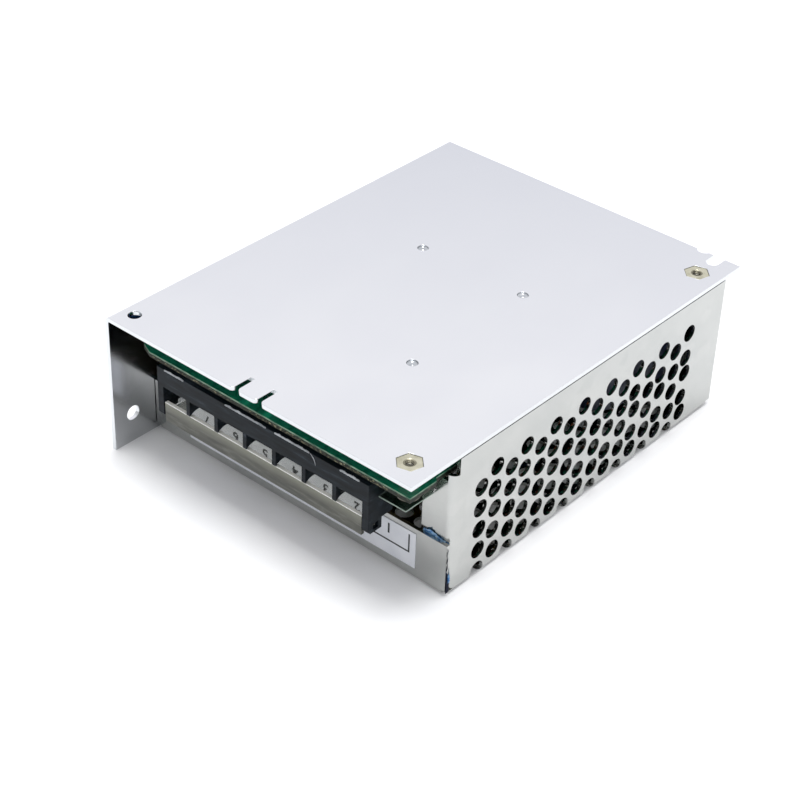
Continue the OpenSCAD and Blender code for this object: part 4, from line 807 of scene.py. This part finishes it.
spacer_r = (box_mm("board_spacers")[1][0] - 67.3)
spacer_places = [(SPACER_HIGH[0] - spacer_r, SPACER_LOW[1] + spacer_r), (SPACER_LOW[0] + spacer_r, SPACER_HIGH[1] - spacer_r),
                 (SPACER_HIGH[0] - spacer_r, SPACER_HIGH[1] - spacer_r)]
rounded("board_screws", "board_fixings", 0.34)
HEAD_LOW, HEAD_HIGH = box_mm("cover_screws")
head_r = (HEAD_HIGH[2] - HEAD_LOW[2]) / 2
recesses = [slab(cross((y, HEAD_LOW[2] + head_r), 1.45, 0.42), -0.3, 0.95, axes=(1, 2, 0))
            for y in (HEAD_LOW[1] + head_r, HEAD_HIGH[1] - head_r)]
rounded("cover_screws", "cover_fixings", 0.1, cut=joined(recesses))
spacer_tips = joined([screw_end(x, y, PLATE_TOP_MM - 0.1) for x, y in spacer_places])
piece("spacer_screw_tips", spacer_tips, FINISH["zinc"], crease=40)
# Painted shade: the screw tips deep in the nuts take the darkened zinc.
nut_tips = joined([screw_end(x, y, PLATE_TOP_MM - 0.88) for x, y in nut_places])
piece("nut_screw_tips", nut_tips, SHADED_ZINC, crease=40)
piece("nut_threads", joined([thread_ring(x, y, WIDE_R_MM, PLATE_TOP_MM - 0.9, PLATE_TOP_MM - 0.12, 3) for x, y in nut_places]),
      DARKER_NICKEL_THREAD, crease=30)


# ---- windings ----
def wound_half(centre, inner_r, outer_r, low, high, start, sweep, turns, wire):
    """Wire wound round half a ring: the path goes round the ring's section once a turn, as a box with round
    corners, while it moves on round the ring."""
    step = np.linspace(0, turns, turns * 22 + 1)
    inside = step * 2 * math.pi
    squared = lambda value: np.sign(value) * np.abs(value) ** 0.55
    middle, half = (inner_r + outer_r) / 2, (outer_r - inner_r) / 2
    radius = middle + half * squared(np.cos(inside))
    height = (low + high) / 2 + (high - low) / 2 * squared(np.sin(inside))
    around = start + sweep * step / turns
    path = np.stack([centre[0] + radius * np.cos(around), centre[1] + radius * np.sin(around), height], axis=-1)
    return tube(path, wire / 2, 7)


def wind(node, core, name, sweep_degrees, turns, wire):
    """Two wound halves over a ring core, in place of the plain winding solid, with its leads."""
    low, high = box_mm(node)
    core_low, core_high = box_mm(core)
    centre = (core_low + core_high) / 2
    outer = (core_high[0] - core_low[0]) / 2 + wire / 2 + 0.12
    inner = (core_high[0] - core_low[0]) / 2 * 0.55 - wire / 2 - 0.12
    sweep = math.radians(sweep_degrees)
    halves = [wound_half(centre, inner, outer, core_low[2] - wire / 2 - 0.12, core_high[2] + wire / 2 + 0.12,
                         math.radians(a) - sweep / 2, sweep, turns, wire) for a in (0, 180)]
    for x, y in lead_tops([node]):
        halves.append(tube([[x, y, core_high[2] + 0.3], [x, y, PCB_LOW[2]], [x, y, PCB_HIGH[2] + 0.95]], wire * 0.3, 8))
    made = piece(name, joined(halves), FINISH["copper"], crease=60)
    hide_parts(node)


wind("choke_winding", "choke_core", "choke_wire", 108, 9, 1.3)
wind("inductor_winding", "inductor_core", "inductor_wire", 138, 14, 1.3)

# ---- floor, light and camera ----
floor_mesh = bpy.data.meshes.new("paper_sweep")
span = np.linspace(-3.0, 3.0, 13)
floor_x, floor_y = np.meshgrid(span, span)
floor_mesh.from_pydata(np.stack([floor_x, floor_y, np.zeros_like(floor_x)], axis=-1).reshape(-1, 3).tolist(), [],
                       grid_faces(13, 13).tolist())
paper, paper_tree, paper_shader, paper_place = material("white_sweep_paper", "#F6F6F7", Roughness=0.7)
paper_tint = drift(paper_tree, paper_place, (60, 60, 60), [(0.3, "#F6F7F8"), (0.7, "#FAFAFA")])
paper_tree.links.new(paper_tint, paper_shader.inputs["Base Color"])
floor_mesh.materials.append(paper)
sweep_floor = bpy.data.objects.new("paper_sweep", floor_mesh)
bpy.context.scene.collection.objects.link(sweep_floor)

world = bpy.data.worlds.new("studio")
bpy.context.scene.world = world
world.use_nodes = True
sky = world.node_tree
direction = add(sky, "ShaderNodeTexCoord").outputs["Generated"]
lean = add(sky, "ShaderNodeVectorMath", {0: direction, 1: (-0.30, 0.62, 0.72)}, operation="DOT_PRODUCT").outputs["Value"]
gradient = {"Value": lean, "From Min": -0.2, "From Max": 0.75, "To Min": 0.66, "To Max": 1.12}
level = add(sky, "ShaderNodeMapRange", gradient, interpolation_type="SMOOTHSTEP").outputs["Result"]
sky.links.new(level, sky.nodes["Background"].inputs["Strength"])
sky.nodes["Background"].inputs["Color"].default_value = linear("#FCFCFF")


def soft_light(name, position, aim, size, watts, colour="#FFFFFF"):
    """A square soft light that faces a point."""
    data = bpy.data.lights.new(name, "AREA")
    data.shape, data.size, data.energy = "SQUARE", size, watts
    data.color = linear(colour)[:3]
    made = bpy.data.objects.new(name, data)
    made.location = position
    made.rotation_mode = "QUATERNION"
    made.rotation_quaternion = (Vector(aim) - Vector(position)).to_track_quat("-Z", "Y")
    bpy.context.scene.collection.objects.link(made)


soft_light("key", (0.08, 0.02, 1.95), (0, 0, 0.02), 0.8, 23.5)

# The camera was fitted to the case's corners in an 800 by 800 picture.
PICTURE_PX, FOCAL_PX, DISTANCE = 800, 1953.221, 0.500269
AZIMUTH, ELEVATION, ROLL = (math.radians(a) for a in (40.108, 35.027, 2.164))
AIM, SLIDE = Vector((0, 0, 0.02)), (-0.007307, -0.011065)
back = Vector((math.sin(AZIMUTH) * math.cos(ELEVATION), -math.cos(AZIMUTH) * math.cos(ELEVATION), math.sin(ELEVATION)))
level_right = Vector((0, 0, 1)).cross(back).normalized()
level_up = back.cross(level_right)
right = level_right * math.cos(ROLL) + level_up * math.sin(ROLL)
up = level_up * math.cos(ROLL) - level_right * math.sin(ROLL)
camera_data = bpy.data.cameras.new("camera")
camera_data.sensor_width = 36.0
camera_data.lens = FOCAL_PX / PICTURE_PX * camera_data.sensor_width
camera_data.clip_start, camera_data.clip_end = 0.01, 20
camera = bpy.data.objects.new("camera", camera_data)
bpy.context.scene.collection.objects.link(camera)
turned = Matrix((right, up, back)).transposed().to_4x4()
turned.translation = AIM + right * SLIDE[0] + up * SLIDE[1] + back * DISTANCE
camera.matrix_world = turned
bpy.context.scene.camera = camera
bpy.context.scene.view_settings.view_transform = "Standard"
